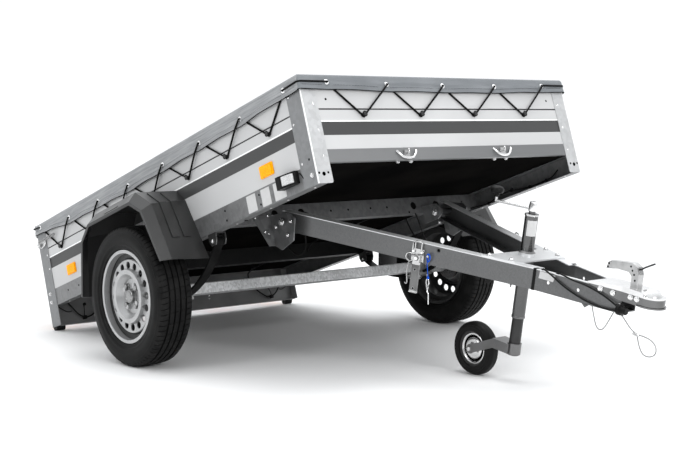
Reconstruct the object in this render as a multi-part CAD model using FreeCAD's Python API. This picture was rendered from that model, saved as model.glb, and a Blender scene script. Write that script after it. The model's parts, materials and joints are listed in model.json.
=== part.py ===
import FreeCAD, Part
import os
from math import asin, atan2, cos, degrees, hypot, pi, radians, sin, sqrt, tan

# A single-axle tipping utility trailer, parked as it tips: the box, chassis and
# axle lean back on two rubber buffers, and the hinged drawbar stands on its
# jockey wheel.
#
# Two frames are used while modelling, both in millimetres:
#   chassis frame  x forward from the front of the box, y to the left, z up from
#                  the lower edge of the side rails, with the box level;
#   drawbar frame  u forward along the arms from the drawbar hinge, y to the
#                  left, w square to the arms.
# The finished part stands on z = 0 with its origin below the middle of its box.

V = FreeCAD.Vector

# Stance
tip_angle = 17.6
drawbar_fold = 27.4

# Box and its sheet metal
box_length = 2100.0
box_width = 1360.0
board_top = 388.0
board_thickness = 15.0
post_sheet = 2.5
rail_height = 75.5
rail_depth = 40.0
rail_sheet = 2.0
floor_thickness = 9.0
front_sill_bottom = 73.4
front_sill_height = 47.1
sill_proud = 1.5
board_gap = 0.5
groove_height = 266.0
groove_width = 6.0
groove_depth = 3.0
stripe_bottom = 171.0
stripe_top = 220.0
stripe_step = 1.0
front_post_front_leg = 66.0
front_post_side_leg = 83.0
rear_post_leg = 81.0
post_corner = 8.0
stop_width = 20.0
door_gap = 5.0

# Tail board hinge
gate_axis_back = 8.0
gate_axis_height = 84.0
gate_pin_radius = 5.0
gate_knuckle_radius = 8.0
gate_knuckle_length = 50.0
gate_lug_length = 28.0
gate_lug_sheet = 6.0
gate_knuckle_inset = 120.0
running_clearance = 0.3
side_clearance = 0.5
gate_bottom_rise = 6.0

# Lamp board, lamps and buffers at the back
lamp_board_drop = 92.0
lamp_board_set_in = 36.0
lamp_board_lip = 25.0
lamp_width = 235.0
lamp_height = 110.0
lamp_depth = 27.0
lamp_corner = 18.0
lamp_edge_margin = 14.0
triangle_side = 150.0
triangle_depth = 6.0
triangle_from_middle = 250.0
buffer_radius = 16.0
buffer_length = 45.0
buffer_from_back = 18.0

# Crossmembers
cross_height = 70.0
cross_depth = 40.0
cross_sheet = 3.0
front_cross_face = 607.0
rear_cross_face = 1420.0
cross_hole_radius = 16.0
cross_hole_outer = 430.0
cross_hole_inner = 300.0

# Axle, springs and hubs
axle_from_front = 1040.0
axle_drop = 153.0
axle_tube = 45.0
axle_tube_corner = 5.0
wheel_track_half = 825.0
spindle_radius = 17.0
spindle_tip = 868.0
hub_barrel_radius = 32.0
hub_barrel_inner_face = 800.0
hub_flange_radius = 68.0
hub_flange_thickness = 10.0
hub_flange_face = 853.0
dust_cap_radius = 27.0
dust_cap_length = 26.0
dust_cap_crown = 6.0
wheel_bolt_circle = 50.0
wheel_bolt_radius = 9.0
wheel_bolt_length = 14.0
wheel_bolt_count = 4
spring_line = 650.0
spring_width = 38.0
spring_leaf = 8.0
spring_half_span = 340.0
spring_eye_drop = 30.0
spring_eye_radius = 16.0
spring_bolt_radius = 7.0
spring_bolt_head = 3.5
spring_bolt_head_radius = 10.0
hanger_sheet = 4.0
hanger_half_length = 26.0
spring_seat = 6.0
saddle_plate = 8.0
saddle_half_length = 45.0
u_bolt_radius = 5.0

# Tyres and rims
tyre_radius = 273.5
tyre_width = 155.0
tread_half_width = 60.0
shoulder_drop = 10.0
bead_radius = 174.0
bead_half_width = 60.0
rim_flange_radius = 182.0
rim_half_width = 65.0
rim_sheet = 4.5
rim_well_radius = 150.0
rim_well_half_width = 28.0
disc_crown_radius = 96.0
disc_crown_face = 884.0
disc_crown_half = 9.0
disc_band_face = 869.0
disc_hole_circle = 121.0
disc_hole_radius = 14.5
disc_hole_count = 16
hub_hole_radius = 29.0

# Mudguards
guard_outer = 905.0
guard_ridge = 865.0
guard_sheet = 4.0
guard_foot_height = -85.0
guard_wall_corners = ((301.0, -85.0), (213.0, 166.0), (162.0, 220.0))
guard_ridge_corners = ((337.0, -85.0), (264.0, 149.0), (165.0, 220.0))
guard_rim_corners = ((325.0, -85.0), (250.0, 128.0), (172.0, 182.0))
guard_lip = 12.0
guard_rib_width = 36.0
guard_rib_height = 4.0
guard_rib_share = 0.62
guard_rib_places_share = (0.36, 0.68)

# Side lamps, reflectors and the knobs that hold the cover's elastic cord
reflector_length = 62.0
reflector_height = 38.0
reflector_depth = 9.0
reflector_corner = 4.0
reflector_middle_height = 126.0
front_reflector_back = 271.0
rear_reflector_back = 1822.0
marker_length = 96.0
marker_height = 46.0
marker_depth = 34.0
marker_back = 150.0
marker_middle_height = 52.0
marker_corner = 8.0
marker_lens_length = 56.0
marker_lens_height = 32.0
marker_lens_depth = 7.0
knob_height = 245.0
knob_radius = 11.0
knob_neck_radius = 6.0
knob_depth = 14.0
knob_head_depth = 6.0
knob_pitch = 277.5
front_knobs_half = 2
side_knobs_half = 3

# Cover
cover_sheet = 3.0
cover_gap = 1.0
cover_skirt = 55.0
cover_corner = 10.0

# Latches of the tail board
catch_height = 300.0
catch_length = 84.0
catch_width = 26.0
catch_depth = 14.0
catch_hook = 10.0

# Drawbar hinge
hinge_back = 526.5
hinge_drop = 11.3
hinge_bolt_radius = 8.0
hinge_bolt_head = 10.0
hinge_bolt_head_radius = 13.0
hinge_bush_radius = 15.0
hinge_outer_leaf = 458.0
hinge_inner_leaf = 345.0
hinge_leaf_sheet = 5.0
hinge_flange_out = 83.0
hinge_flange_foot = 28.0
hinge_flange_top = 35.0
hinge_flange_drop = 85.0
hinge_leaf_front = 454.0
hinge_leaf_tip_drop = 111.0
hinge_leaf_tip = 570.0
hinge_leaf_heel = 488.0
hinge_leaf_heel_drop = 93.0
hinge_leaf_shoulder = 470.0
hinge_leaf_shoulder_height = 7.0
hinge_leaf_crown = 518.0
hinge_leaf_crown_height = 23.0

# Drawbar arms, in the drawbar frame
arm_height = 75.0
arm_flange = 40.0
arm_sheet = 3.0
arm_back = 35.0
arm_end = 975.0
arm_half_at_hinge = 428.8
arm_half_at_end = 105.0
arm_hole_radius = 6.0
arm_hole_place = 614.0
arm_hole_height = 22.0

# Nose between the arms and the coupling
nose_sheet = 4.0
nose_half_back = 105.0
nose_half_front = 42.0
nose_front = 1297.0
nose_lip = 14.0
nose_floor_back = 1165.0
nose_cut_back = 1230.0
nose_cut_top = 17.0
nose_tab_back = 1159.0
nose_tab_front = 1188.0
nose_tab_drop = 11.0
nose_hole_radius = 6.0
nose_holes = ((1025.0, 0.0), (1139.0, 3.0))

# Coupling head
ball_bore_radius = 25.2
ball_from_hinge = 1385.0
shank_back = 1172.0
shank_foot = 1292.0
shank_half = 46.0
shank_wall = 4.0
shank_bottom = 8.0
shank_top = 56.0
shank_back_top = 44.0
head_shoulder = 12.0
head_radius = 42.0
head_set_back = 4.0
head_crown = 24.0
socket_depth = 17.0
rim_height = 5.0
rim_proud = 5.0
shank_bolt_radius = 7.0
shank_bolt_length = 9.0
shank_bolt_sink = 3.0
shank_bolts = ((1222.0, 30.0), (1268.0, 27.0), (1336.0, 30.0), (1362.0, 30.0))
handle_half = 14.0
handle_edge = 4.0
handle_round_from = 70.0
handle_outline = (
    (1195.0, 88.0), (1200.0, 112.0), (1216.0, 122.0), (1302.0, 134.0), (1324.0, 124.0),
    (1333.0, 100.0), (1334.0, 50.0), (1305.0, 50.0), (1303.0, 86.0), (1288.0, 99.0), (1242.0, 98.0),
)
pointer_radius = 3.0
pointer_route = ((1322.0, 0.0, 112.0), (1342.0, 0.0, 127.0), (1378.0, 0.0, 148.0))

# Front hooks
hook_from_middle = 250.0
hook_sheet = 4.0
hook_width = 28.0
hook_height = 96.0
hook_reach = 17.0
hook_rise = 16.0
hook_radius = 4.0

# Jockey wheel
jack_from_hinge = 830.0
jack_outer_radius = 24.0
jack_outer_wall = 2.5
jack_clearance = 0.4
jack_inner_radius = 21.0
jack_inner_wall = 2.5
jack_top = 192.0
jack_outer_low = -186.0
jack_inner_low = -328.0
jack_inner_length = 335.0
jack_cap_radius = 12.0
jack_cap_top = 235.0
crank_radius = 5.0
crank_reach = 150.0
crank_rise = 40.0
crank_turn = 14.0
crank_height = 212.0
crank_knob_radius = 14.0
crank_knob_length = 22.0
jack_plate = 5.0
jack_plate_back = 775.0
jack_plate_front = 900.0
jack_sleeve_wall = 4.0
fork_collar_height = 42.0
fork_collar_wall = 4.0
fork_half = 33.0
fork_sheet = 4.0
fork_height = 36.0
fork_collar_gap = 3.0
jockey_from_hinge = 645.0
jockey_radius = 100.0
jockey_width = 50.0
jockey_rim_radius = 66.0
jockey_corner = 18.0
jockey_hub_radius = 14.0
jockey_axle_radius = 6.0
jockey_dish = 14.0
jockey_rim_wall = 4.0

# Toggle latches on the arms
toggle_from_hinge = 541.0
toggle_base_length = 50.0
toggle_base_height = 46.0
toggle_base_depth = 8.0
toggle_base_middle = -10.0
toggle_lever_length = 112.0
toggle_lever_width = 28.0
toggle_lever_depth = 9.0
toggle_lever_top = -34.0
toggle_ring_radius = 15.0
toggle_wire_radius = 2.5
toggle_ring_back = 32.0
toggle_bail_height = 40.0
toggle_bail_half = 13.0
lanyard_pin_ahead = 42.0
lanyard_pin_height = -6.0
lanyard_pin_radius = 4.0
lanyard_pin_length = 12.0

# Cords, in the drawbar frame
cord_arc_share = 0.45
cable_radius = 3.0
upper_cable_route = (
    (1046.0, -82.0, 36.0), (1062.0, -88.0, 43.5), (1086.0, -92.0, 42.0), (1122.0, -83.5, 33.0),
    (1164.0, -76.0, 30.0), (1206.0, -68.5, 21.0), (1244.0, -60.5, 9.0), (1276.0, -55.0, -5.0),
    (1299.0, -54.0, -13.0),
)
lower_cable_route = (
    (986.0, -90.0, 36.0), (1000.0, -98.0, 43.5), (1020.0, -104.5, 41.0), (1042.0, -98.5, 30.0),
    (1070.0, -93.0, 14.0), (1105.0, -86.5, -2.0), (1142.0, -79.5, -14.0), (1180.0, -71.5, -25.0),
    (1222.0, -63.5, -31.0), (1262.0, -57.0, -31.5), (1299.0, -54.0, -26.0),
)
plug_radius = 13.0
plug_length = 36.0
plug_collar_radius = 19.0
plug_collar_length = 16.0
plug_place = (1299.0, -54.0, -19.5)
wire_radius = 2.0
safety_cable_route = (
    (1297.0, -38.0, -35.5), (1310.0, -39.5, -42.0), (1329.0, -42.0, -55.0), (1350.0, -44.5, -70.0),
    (1372.0, -46.0, -80.0),
)
safety_loop_route = (
    (1388.0, -46.0, -83.0), (1410.0, -46.0, -82.0), (1436.0, -45.5, -84.5), (1457.0, -45.0, -95.0),
    (1467.0, -45.0, -113.0), (1461.0, -45.0, -132.0), (1441.0, -45.0, -143.0), (1419.0, -45.5, -142.5),
    (1404.0, -46.0, -128.0), (1393.0, -46.0, -108.0), (1386.0, -46.0, -90.0),
)
ferrule_radius = 5.5
ferrule_back = 1366.0
ferrule_front = 1390.0
tether_route = (
    (1196.0, -58.0, -37.5), (1206.0, -58.5, -60.0), (1217.0, -59.0, -84.0), (1227.0, -59.5, -101.0),
    (1242.0, -60.0, -108.0), (1257.0, -60.0, -100.0), (1266.0, -58.0, -82.0), (1272.0, -52.0, -60.0),
    (1277.0, -44.0, -37.5),
)
lanyard_radius = 1.5
lanyard_route = (
    (578.0, -245.0, -7.0), (583.0, -244.0, -25.0), (585.0, -243.0, -45.0), (590.0, -242.0, -65.0),
    (594.0, -241.0, -84.0),
)
clip_radius = 1.8
clip_route = (
    (594.0, -241.0, -84.0), (586.0, -241.0, -96.0), (592.0, -241.0, -120.0), (604.0, -241.0, -140.0),
    (610.0, -241.0, -178.0),
)

# One overrun serves every cut.
overrun = 2.0
half_turn = 180.0
metre = 1000.0

cord_names = ("electric_cable_upper", "electric_cable_lower", "electric_plug", "safety_cable",
              "tether_wire", "lanyard", "safety_clip")

X_AXIS = V(1, 0, 0)
Y_AXIS = V(0, 1, 0)
Z_AXIS = V(0, 0, 1)


# Places worked out from the sizes above
half_width = box_width / 2
wall_outer = half_width - post_sheet
wall_inner = wall_outer - board_thickness
floor_top = rail_height + floor_thickness
axle_x = -axle_from_front
axle_z = -axle_drop
hinge_x = -hinge_back
hinge_z = -hinge_drop
drawbar_slope = drawbar_fold - tip_angle
arm_slope = (arm_half_at_hinge - arm_half_at_end) / arm_end
arm_turn = degrees(atan2(arm_half_at_hinge - arm_half_at_end, arm_end))


def slab(x0, x1, y0, y1, z0, z1):
    """A block between three pairs of planes, given in any order."""
    low = V(min(x0, x1), min(y0, y1), min(z0, z1))
    return Part.makeBox(abs(x1 - x0), abs(y1 - y0), abs(z1 - z0), low)


def prism_y(points, y0, y1):
    """Extrude an outline of (x, z) points from y0 to y1."""
    ring = [V(x, y0, z) for x, z in points]
    face = Part.Face(Part.makePolygon(ring + ring[:1]))
    return face.extrude(V(0, y1 - y0, 0))


def prism_x(points, x0, x1):
    """Extrude an outline of (y, z) points from x0 to x1."""
    ring = [V(x0, y, z) for y, z in points]
    face = Part.Face(Part.makePolygon(ring + ring[:1]))
    return face.extrude(V(x1 - x0, 0, 0))


def prism_z(points, z0, z1):
    """Extrude an outline of (x, y) points from z0 to z1."""
    ring = [V(x, y, z0) for x, y in points]
    face = Part.Face(Part.makePolygon(ring + ring[:1]))
    return face.extrude(V(0, 0, z1 - z0))


def rod_x(radius, x0, x1, y, z):
    return Part.makeCylinder(radius, x1 - x0, V(x0, y, z), X_AXIS)


def rod_y(radius, x, y0, y1, z):
    return Part.makeCylinder(radius, y1 - y0, V(x, y0, z), Y_AXIS)


def rod_z(radius, x, y, z0, z1):
    return Part.makeCylinder(radius, z1 - z0, V(x, y, z0), Z_AXIS)


def spun_y(points, x, y, z):
    """Revolve an outline of (radius, distance along y) points about a line along y."""
    ring = [V(radius, along, 0) for radius, along in points]
    face = Part.Face(Part.makePolygon(ring + ring[:1]))
    solid = face.revolve(V(0, 0, 0), Y_AXIS, 2 * half_turn)
    solid.translate(V(x, y, z))
    return solid


def bend_points(before, corner, after, radius):
    """Where an arc of a radius leaves and joins two runs, with its middle."""
    back = before - corner
    ahead = after - corner
    back.normalize()
    ahead.normalize()
    half_angle = back.getAngle(ahead) / 2
    inset = radius / tan(half_angle)
    toward = back + ahead
    toward.normalize()
    middle = corner + toward * (radius / sin(half_angle) - radius)
    return corner + back * inset, middle, corner + ahead * inset


def pipe(route, radius, bend):
    """A round bar along straight runs that are joined by arcs of one bend radius."""
    edges = []
    start = route[0]
    for number in range(1, len(route) - 1):
        leave, middle, join = bend_points(route[number - 1], route[number], route[number + 1], bend)
        edges.append(Part.LineSegment(start, leave).toShape())
        edges.append(Part.Arc(leave, middle, join).toShape())
        start = join
    edges.append(Part.LineSegment(start, route[-1]).toShape())
    profile = Part.Wire(Part.makeCircle(radius, route[0], route[1] - route[0]))
    return Part.Wire(edges).makePipeShell([profile], True, False)


def joined(shapes):
    """Fuse shapes that touch into one clean solid."""
    first = shapes[0]
    whole = first.multiFuse(shapes[1:]) if len(shapes) > 1 else first
    return whole.removeSplitter()


def mirrored(shape):
    return shape.mirror(V(0, 0, 0), Y_AXIS)


def both_sides(shape):
    return Part.makeCompound([shape, mirrored(shape)])


def rounded(shape, radius, chosen):
    """Fillet the edges for which chosen(edge) holds."""
    return shape.makeFillet(radius, [edge for edge in shape.Edges if chosen(edge)])


def runs_along(edge, axis):
    """Whether an edge is straight and lies along an axis."""
    if len(edge.Vertexes) < 2:
        return False
    run = edge.Vertexes[1].Point - edge.Vertexes[0].Point
    return run.cross(axis).Length < run.Length / 1000 and run.Length > 0


def standing(shape):
    """Turn a shape of the chassis frame about the axle, nose up, and set it on its wheels."""
    placed = shape.copy()
    placed.translate(V(-axle_x, 0, -axle_z))
    placed.rotate(V(0, 0, 0), Y_AXIS, -tip_angle)
    placed.translate(V(0, 0, tyre_radius))
    return placed


def standing_point(x, y, z):
    turn = radians(tip_angle)
    ahead = x - axle_x
    above = z - axle_z
    return V(ahead * cos(turn) - above * sin(turn), y, tyre_radius + ahead * sin(turn) + above * cos(turn))


def hitched(shape):
    """Set a shape of the drawbar frame on the drawbar hinge, sloping down forward."""
    placed = shape.copy()
    placed.rotate(V(0, 0, 0), Y_AXIS, drawbar_slope)
    placed.translate(standing_point(hinge_x, 0, hinge_z))
    return placed


# Box: boards, posts, rails and floor

def board_outline(bottom, top):
    """Section of an aluminium board, as (distance from its outer face, height)."""
    low_groove = groove_height - groove_width / 2
    high_groove = groove_height + groove_width / 2
    return [
        (0, bottom), (0, stripe_bottom), (stripe_step, stripe_bottom + stripe_step),
        (stripe_step, stripe_top - stripe_step), (0, stripe_top), (0, low_groove),
        (groove_depth, low_groove + stripe_step), (groove_depth, high_groove - stripe_step),
        (0, high_groove), (0, top), (board_thickness, top), (board_thickness, bottom),
    ]


def side_board():
    outline = [(-wall_outer + depth, height) for depth, height in board_outline(rail_height, board_top)]
    back = -(box_length - board_thickness - door_gap - post_sheet)
    return prism_x(outline, back, -post_sheet)


def sill_outline(bottom):
    """The heavier profile under the front board and the tail board."""
    top = bottom + front_sill_height
    return [
        (-sill_proud, bottom), (-sill_proud, top - sill_proud), (0, top),
        (board_thickness, top), (board_thickness, bottom),
    ]


def front_board():
    board = [(-post_sheet - depth, height)
             for depth, height in board_outline(front_sill_bottom + front_sill_height, board_top)]
    sill = [(-post_sheet - depth, height) for depth, height in sill_outline(front_sill_bottom)]
    whole = prism_y(board, -wall_inner, wall_inner)
    inset = half_width - front_post_front_leg - board_gap
    foot = prism_y(sill, -inset, inset)
    ends = slab(-post_sheet, -post_sheet - board_thickness, -wall_inner, wall_inner,
                front_sill_bottom, front_sill_bottom + front_sill_height)
    board = joined([whole, foot, ends])
    back = -post_sheet - board_thickness - overrun
    for side in (-1, 1):
        board = board.cut(slab(back, 0, side * (wall_outer - rail_depth), side * half_width,
                               front_sill_bottom - overrun, rail_height))
    return board


def front_post():
    side = slab(-front_post_side_leg, 0, -half_width, -wall_outer, 0, board_top)
    front = slab(-post_sheet, 0, -half_width, -half_width + front_post_front_leg, 0, board_top)
    post = joined([side, front])
    foot = -half_width + front_post_front_leg

    def lower_corner(edge):
        middle = edge.CenterOfMass
        return runs_along(edge, X_AXIS) and abs(middle.y - foot) < overrun and middle.z < overrun

    return rounded(post, post_corner, lower_corner)


def rear_post():
    side = slab(-box_length, -box_length + rear_post_leg, -half_width, -wall_outer,
                -lamp_board_drop, board_top)
    stop_x = -box_length + board_thickness + door_gap
    stop = slab(stop_x, stop_x + post_sheet, -wall_outer, -wall_outer + stop_width,
                rail_height, board_top)
    return joined([side, stop])


def side_rail():
    """A channel that opens inward, below the side board."""
    front = -post_sheet
    back = -box_length + lamp_board_set_in + rail_sheet / 2
    outer = slab(back, front, -wall_outer, -wall_outer + rail_depth, 0, rail_height)
    hollow = slab(back - overrun, front + overrun, -wall_outer + rail_sheet,
                  -wall_outer + rail_depth + overrun, rail_sheet, rail_height - rail_sheet)
    return outer.cut(hollow)


def floor_panel():
    back = -box_length + board_thickness + door_gap + post_sheet
    front = -post_sheet - board_thickness
    return slab(back, front, -wall_inner, wall_inner, rail_height, floor_top)


def crossmember(face_back, holes):
    """A channel between the side rails, closed in front and open to the back."""
    reach = wall_outer - rail_sheet
    face = -face_back
    outer = slab(face, face - cross_depth, -reach, reach, rail_height - cross_height, rail_height)
    hollow = slab(face - cross_sheet, face - cross_depth - overrun, -reach - overrun, reach + overrun,
                  rail_height - cross_height + cross_sheet, rail_height - cross_sheet)
    member = outer.cut(hollow)
    inner = wall_outer - rail_depth
    for side in (-1, 1):
        for low, high in ((-overrun, rail_sheet), (rail_height - rail_sheet, rail_height + overrun)):
            member = member.cut(slab(face + overrun, face - cross_depth - overrun, side * inner,
                                     side * (reach + overrun), low, high))
    for place in holes:
        for side in (-1, 1):
            member = member.cut(rod_x(cross_hole_radius, face - cross_sheet - overrun, face + overrun,
                                      side * place, rail_height - cross_height / 2))
    return member


# Tail board and its hinge

def gate_axis():
    return -box_length - gate_axis_back, gate_axis_height


def knuckle_middle(side):
    return side * (wall_outer - gate_knuckle_inset)


def tail_board():
    inset = wall_outer - door_gap
    bottom = front_sill_bottom + gate_bottom_rise
    board = [(-box_length + depth, height)
             for depth, height in board_outline(bottom + front_sill_height, board_top)]
    sill = [(-box_length + depth, height) for depth, height in sill_outline(bottom)]
    plate = joined([prism_y(board, -inset, inset), prism_y(sill, -inset, inset)])
    x, z = gate_axis()
    lug_zone = gate_knuckle_length / 2 + gate_lug_sheet + 2 * side_clearance
    for side in (-1, 1):
        middle = knuckle_middle(side)
        plate = plate.cut(rod_y(gate_knuckle_radius + side_clearance, x, middle - lug_zone,
                                middle + lug_zone, z))
    pieces = [plate]
    for side in (-1, 1):
        middle = knuckle_middle(side)
        low = middle - gate_knuckle_length / 2
        high = middle + gate_knuckle_length / 2
        pieces.append(rod_y(gate_knuckle_radius, x, low, high, z))
        pieces.append(slab(x, -box_length + sill_proud, low, high, z, z + gate_knuckle_radius))
    gate = joined(pieces)
    for side in (-1, 1):
        middle = knuckle_middle(side)
        reach = gate_knuckle_length / 2 + overrun
        gate = gate.cut(rod_y(gate_pin_radius + running_clearance, x, middle - reach, middle + reach, z))
    return gate


def gate_hinge(side):
    """Pin and two lugs that stand on the lamp board's upper edge."""
    x, z = gate_axis()
    middle = knuckle_middle(side)
    inner = gate_knuckle_length / 2 + side_clearance
    outer = inner + gate_lug_sheet
    board_x = -box_length + lamp_board_set_in
    pieces = [rod_y(gate_pin_radius, x, middle - outer, middle + outer, z)]
    foot = rail_height - gate_lug_length
    for low, high in ((-outer, -inner), (inner, outer)):
        ear = rod_y(gate_knuckle_radius, x, middle + low, middle + high, z)
        top = [(x, z + gate_knuckle_radius), (x - gate_knuckle_radius, z),
               (x - gate_knuckle_radius / 2, z - gate_knuckle_radius),
               (board_x, foot), (board_x, rail_height - running_clearance),
               (x + gate_knuckle_radius, rail_height - running_clearance)]
        pieces.append(joined([ear, prism_y(top, middle + low, middle + high)]))
    return joined(pieces)


def lamp_board():
    """A folded sheet between the rear posts, with lips that face forward."""
    face = -box_length + lamp_board_set_in
    inset = wall_outer
    top = rail_height - rail_sheet
    sheet = slab(face, face + rail_sheet, -inset, inset, -lamp_board_drop, rail_height)
    lower = slab(face, face + lamp_board_lip, -inset, inset,
                 -lamp_board_drop, -lamp_board_drop + rail_sheet)
    inner = wall_outer - rail_depth
    upper = slab(face, face + lamp_board_lip, -inner + board_gap, inner - board_gap, top, rail_height)
    board = joined([sheet, lower, upper])
    for side in (-1, 1):
        notch = slab(face + rail_sheet / 2, face + rail_sheet + overrun, side * inner,
                     side * (wall_outer + overrun), 0, rail_height + overrun)
        board = board.cut(notch)
    return board


def rear_lamp():
    face = -box_length + lamp_board_set_in
    outer = -wall_outer + lamp_edge_margin
    middle = -(lamp_board_drop - rail_height) / 2
    body = slab(face, face - lamp_depth, outer, outer + lamp_width,
                middle - lamp_height / 2, middle + lamp_height / 2)
    return rounded(body, lamp_corner, lambda edge: runs_along(edge, X_AXIS))


def rear_triangle():
    face = -box_length + lamp_board_set_in
    height = triangle_side * sin(pi / 3)
    low = -(lamp_board_drop - rail_height) / 2 - height / 2
    outline = [(-triangle_from_middle - triangle_side / 2, low),
               (-triangle_from_middle + triangle_side / 2, low),
               (-triangle_from_middle, low + height)]
    return prism_x(outline, face - triangle_depth, face)


def buffer_pad():
    """A half-round rubber pad under the rear post, round where it meets the ground."""
    x = -box_length + buffer_from_back
    turn = radians(tip_angle)
    lift = buffer_radius - tyre_radius - (x - axle_x) * sin(turn)
    z = axle_z + lift / cos(turn)
    outer = -wall_outer
    pad = rod_y(buffer_radius, x, outer, outer + buffer_length, z)
    block = slab(x - buffer_radius, x + buffer_radius, outer, outer + buffer_length, z,
                 -lamp_board_drop + buffer_radius)
    whole = joined([pad, block])
    return whole.cut(slab(-box_length + lamp_board_set_in, x + 2 * buffer_radius + overrun,
                          outer - overrun, outer + buffer_length + overrun,
                          -lamp_board_drop, buffer_radius))


# Axle and springs

def axle_beam():
    half = axle_tube / 2
    reach = hub_barrel_inner_face - side_clearance * 2
    bar = slab(axle_x - half, axle_x + half, -spring_line - rail_depth, spring_line + rail_depth,
               axle_z - half, axle_z + half)
    bar = rounded(bar, axle_tube_corner, lambda edge: runs_along(edge, Y_AXIS))
    spindles = [rod_y(hub_barrel_radius, axle_x, spring_line + rail_depth, reach, axle_z),
                rod_y(spindle_radius, axle_x, spring_line, spindle_tip, axle_z)]
    return joined([bar] + spindles + [mirrored(piece) for piece in spindles])


def spring_arc():
    """Radius and centre height of the leaf's lower curve, through both eyes and under the axle."""
    low = axle_z - axle_tube / 2 - spring_leaf - spring_seat
    rise = -spring_eye_drop - spring_eye_radius - low
    radius = (spring_half_span ** 2 + rise ** 2) / (2 * rise)
    return radius, low + radius


def leaf_spring():
    """Leaf with rolled eyes, clamped below the axle by a plate and two U-bolts."""
    radius, height = spring_arc()
    left = -spring_line - spring_width / 2
    right = left + spring_width
    ring = rod_y(radius, axle_x, left, right, height)
    ring = ring.cut(rod_y(radius - spring_leaf, axle_x, left - overrun, right + overrun, height))
    window = slab(axle_x - spring_half_span, axle_x + spring_half_span, left - overrun, right + overrun,
                  height - radius - overrun, -spring_eye_drop)
    beam_low = axle_z - axle_tube / 2
    plate_low = beam_low - spring_seat - spring_leaf - saddle_plate
    reach = spring_width / 2 + 2 * u_bolt_radius + saddle_plate
    pieces = [ring.common(window)]
    pieces.append(slab(axle_x - saddle_half_length, axle_x + saddle_half_length, left, right,
                       beam_low - spring_seat - spring_leaf / 2, beam_low))
    pieces.append(slab(axle_x - saddle_half_length, axle_x + saddle_half_length, -spring_line - reach,
                       -spring_line + reach, plate_low, plate_low + saddle_plate + spring_leaf / 2))
    for end in (-1, 1):
        pieces.append(rod_y(spring_eye_radius, axle_x + end * spring_half_span, left, right,
                            -spring_eye_drop))
        pieces.append(u_bolt(end, plate_low - saddle_plate))
    spring = joined(pieces)
    for end in (-1, 1):
        spring = spring.cut(rod_y(spring_bolt_radius + running_clearance,
                                  axle_x + end * spring_half_span, left - overrun, right + overrun,
                                  -spring_eye_drop))
    return spring


def u_bolt(end, foot):
    """A bolt bent over the axle tube, beside the spring's middle."""
    y = -spring_line + end * (spring_width / 2 + u_bolt_radius + side_clearance)
    half = axle_tube / 2 + u_bolt_radius + side_clearance
    top = axle_z + half
    route = [V(axle_x - half, y, foot), V(axle_x - half, y, top), V(axle_x + half, y, top),
             V(axle_x + half, y, foot)]
    return pipe(route, u_bolt_radius, 2 * u_bolt_radius)


def spring_hanger(end):
    """Two cheeks and a top plate under the side rail, with the eye's bolt."""
    x = axle_x + end * spring_half_span
    low = -spring_eye_drop - spring_eye_radius
    inner = spring_width / 2 + side_clearance
    outer = inner + hanger_sheet
    pieces = [slab(x - hanger_half_length, x + hanger_half_length, -spring_line - outer,
                   -spring_line + outer, -hanger_sheet, 0)]
    for left, right in ((-outer, -inner), (inner, outer)):
        pieces.append(prism_y([(x - hanger_half_length, 0), (x + hanger_half_length, 0),
                               (x + hanger_half_length, -hanger_half_length),
                               (x + spring_eye_radius, low), (x - spring_eye_radius, low),
                               (x - hanger_half_length, -hanger_half_length)],
                              -spring_line + left, -spring_line + right))
    head = outer + spring_bolt_head
    pieces.append(rod_y(spring_bolt_radius, x, -spring_line - outer, -spring_line + outer,
                        -spring_eye_drop))
    pieces.append(rod_y(spring_bolt_head_radius, x, -spring_line - head, -spring_line - outer,
                        -spring_eye_drop))
    pieces.append(rod_y(spring_bolt_head_radius, x, -spring_line + outer, -spring_line + head,
                        -spring_eye_drop))
    return joined(pieces)


# Wheels

def tyre():
    """Revolved section with rounded shoulders and side walls that bulge over the rim's flanges."""
    half = tyre_width / 2
    shoulder = tyre_radius - shoulder_drop
    wall = (tyre_radius + rim_flange_radius) / 2
    lip = rim_flange_radius + overrun
    crown = tyre_radius - shoulder_drop / 4
    crown_half = (tread_half_width + half) / 2
    tread = [V(tyre_radius, side * tread_half_width, 0) for side in (-1, 1)]
    beads = [V(bead_radius, side * bead_half_width, 0) for side in (-1, 1)]
    lips = [V(lip, side * bead_half_width, 0) for side in (-1, 1)]
    shoulders = [V(shoulder, side * (half - shoulder_drop / 2), 0) for side in (-1, 1)]
    edges = [Part.LineSegment(tread[0], tread[1]).toShape(), Part.LineSegment(beads[1], beads[0]).toShape()]
    for number, side in enumerate((-1, 1)):
        edges.append(Part.Arc(tread[number], V(crown, side * crown_half, 0), shoulders[number]).toShape())
        edges.append(Part.Arc(shoulders[number], V(wall, side * half, 0), lips[number]).toShape())
        edges.append(Part.LineSegment(lips[number], beads[number]).toShape())
    face = Part.Face(Part.Wire(Part.__sortEdges__(edges)))
    solid = face.revolve(V(0, 0, 0), Y_AXIS, 2 * half_turn)
    solid.translate(V(axle_x, -wheel_track_half, axle_z))
    return solid


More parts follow.
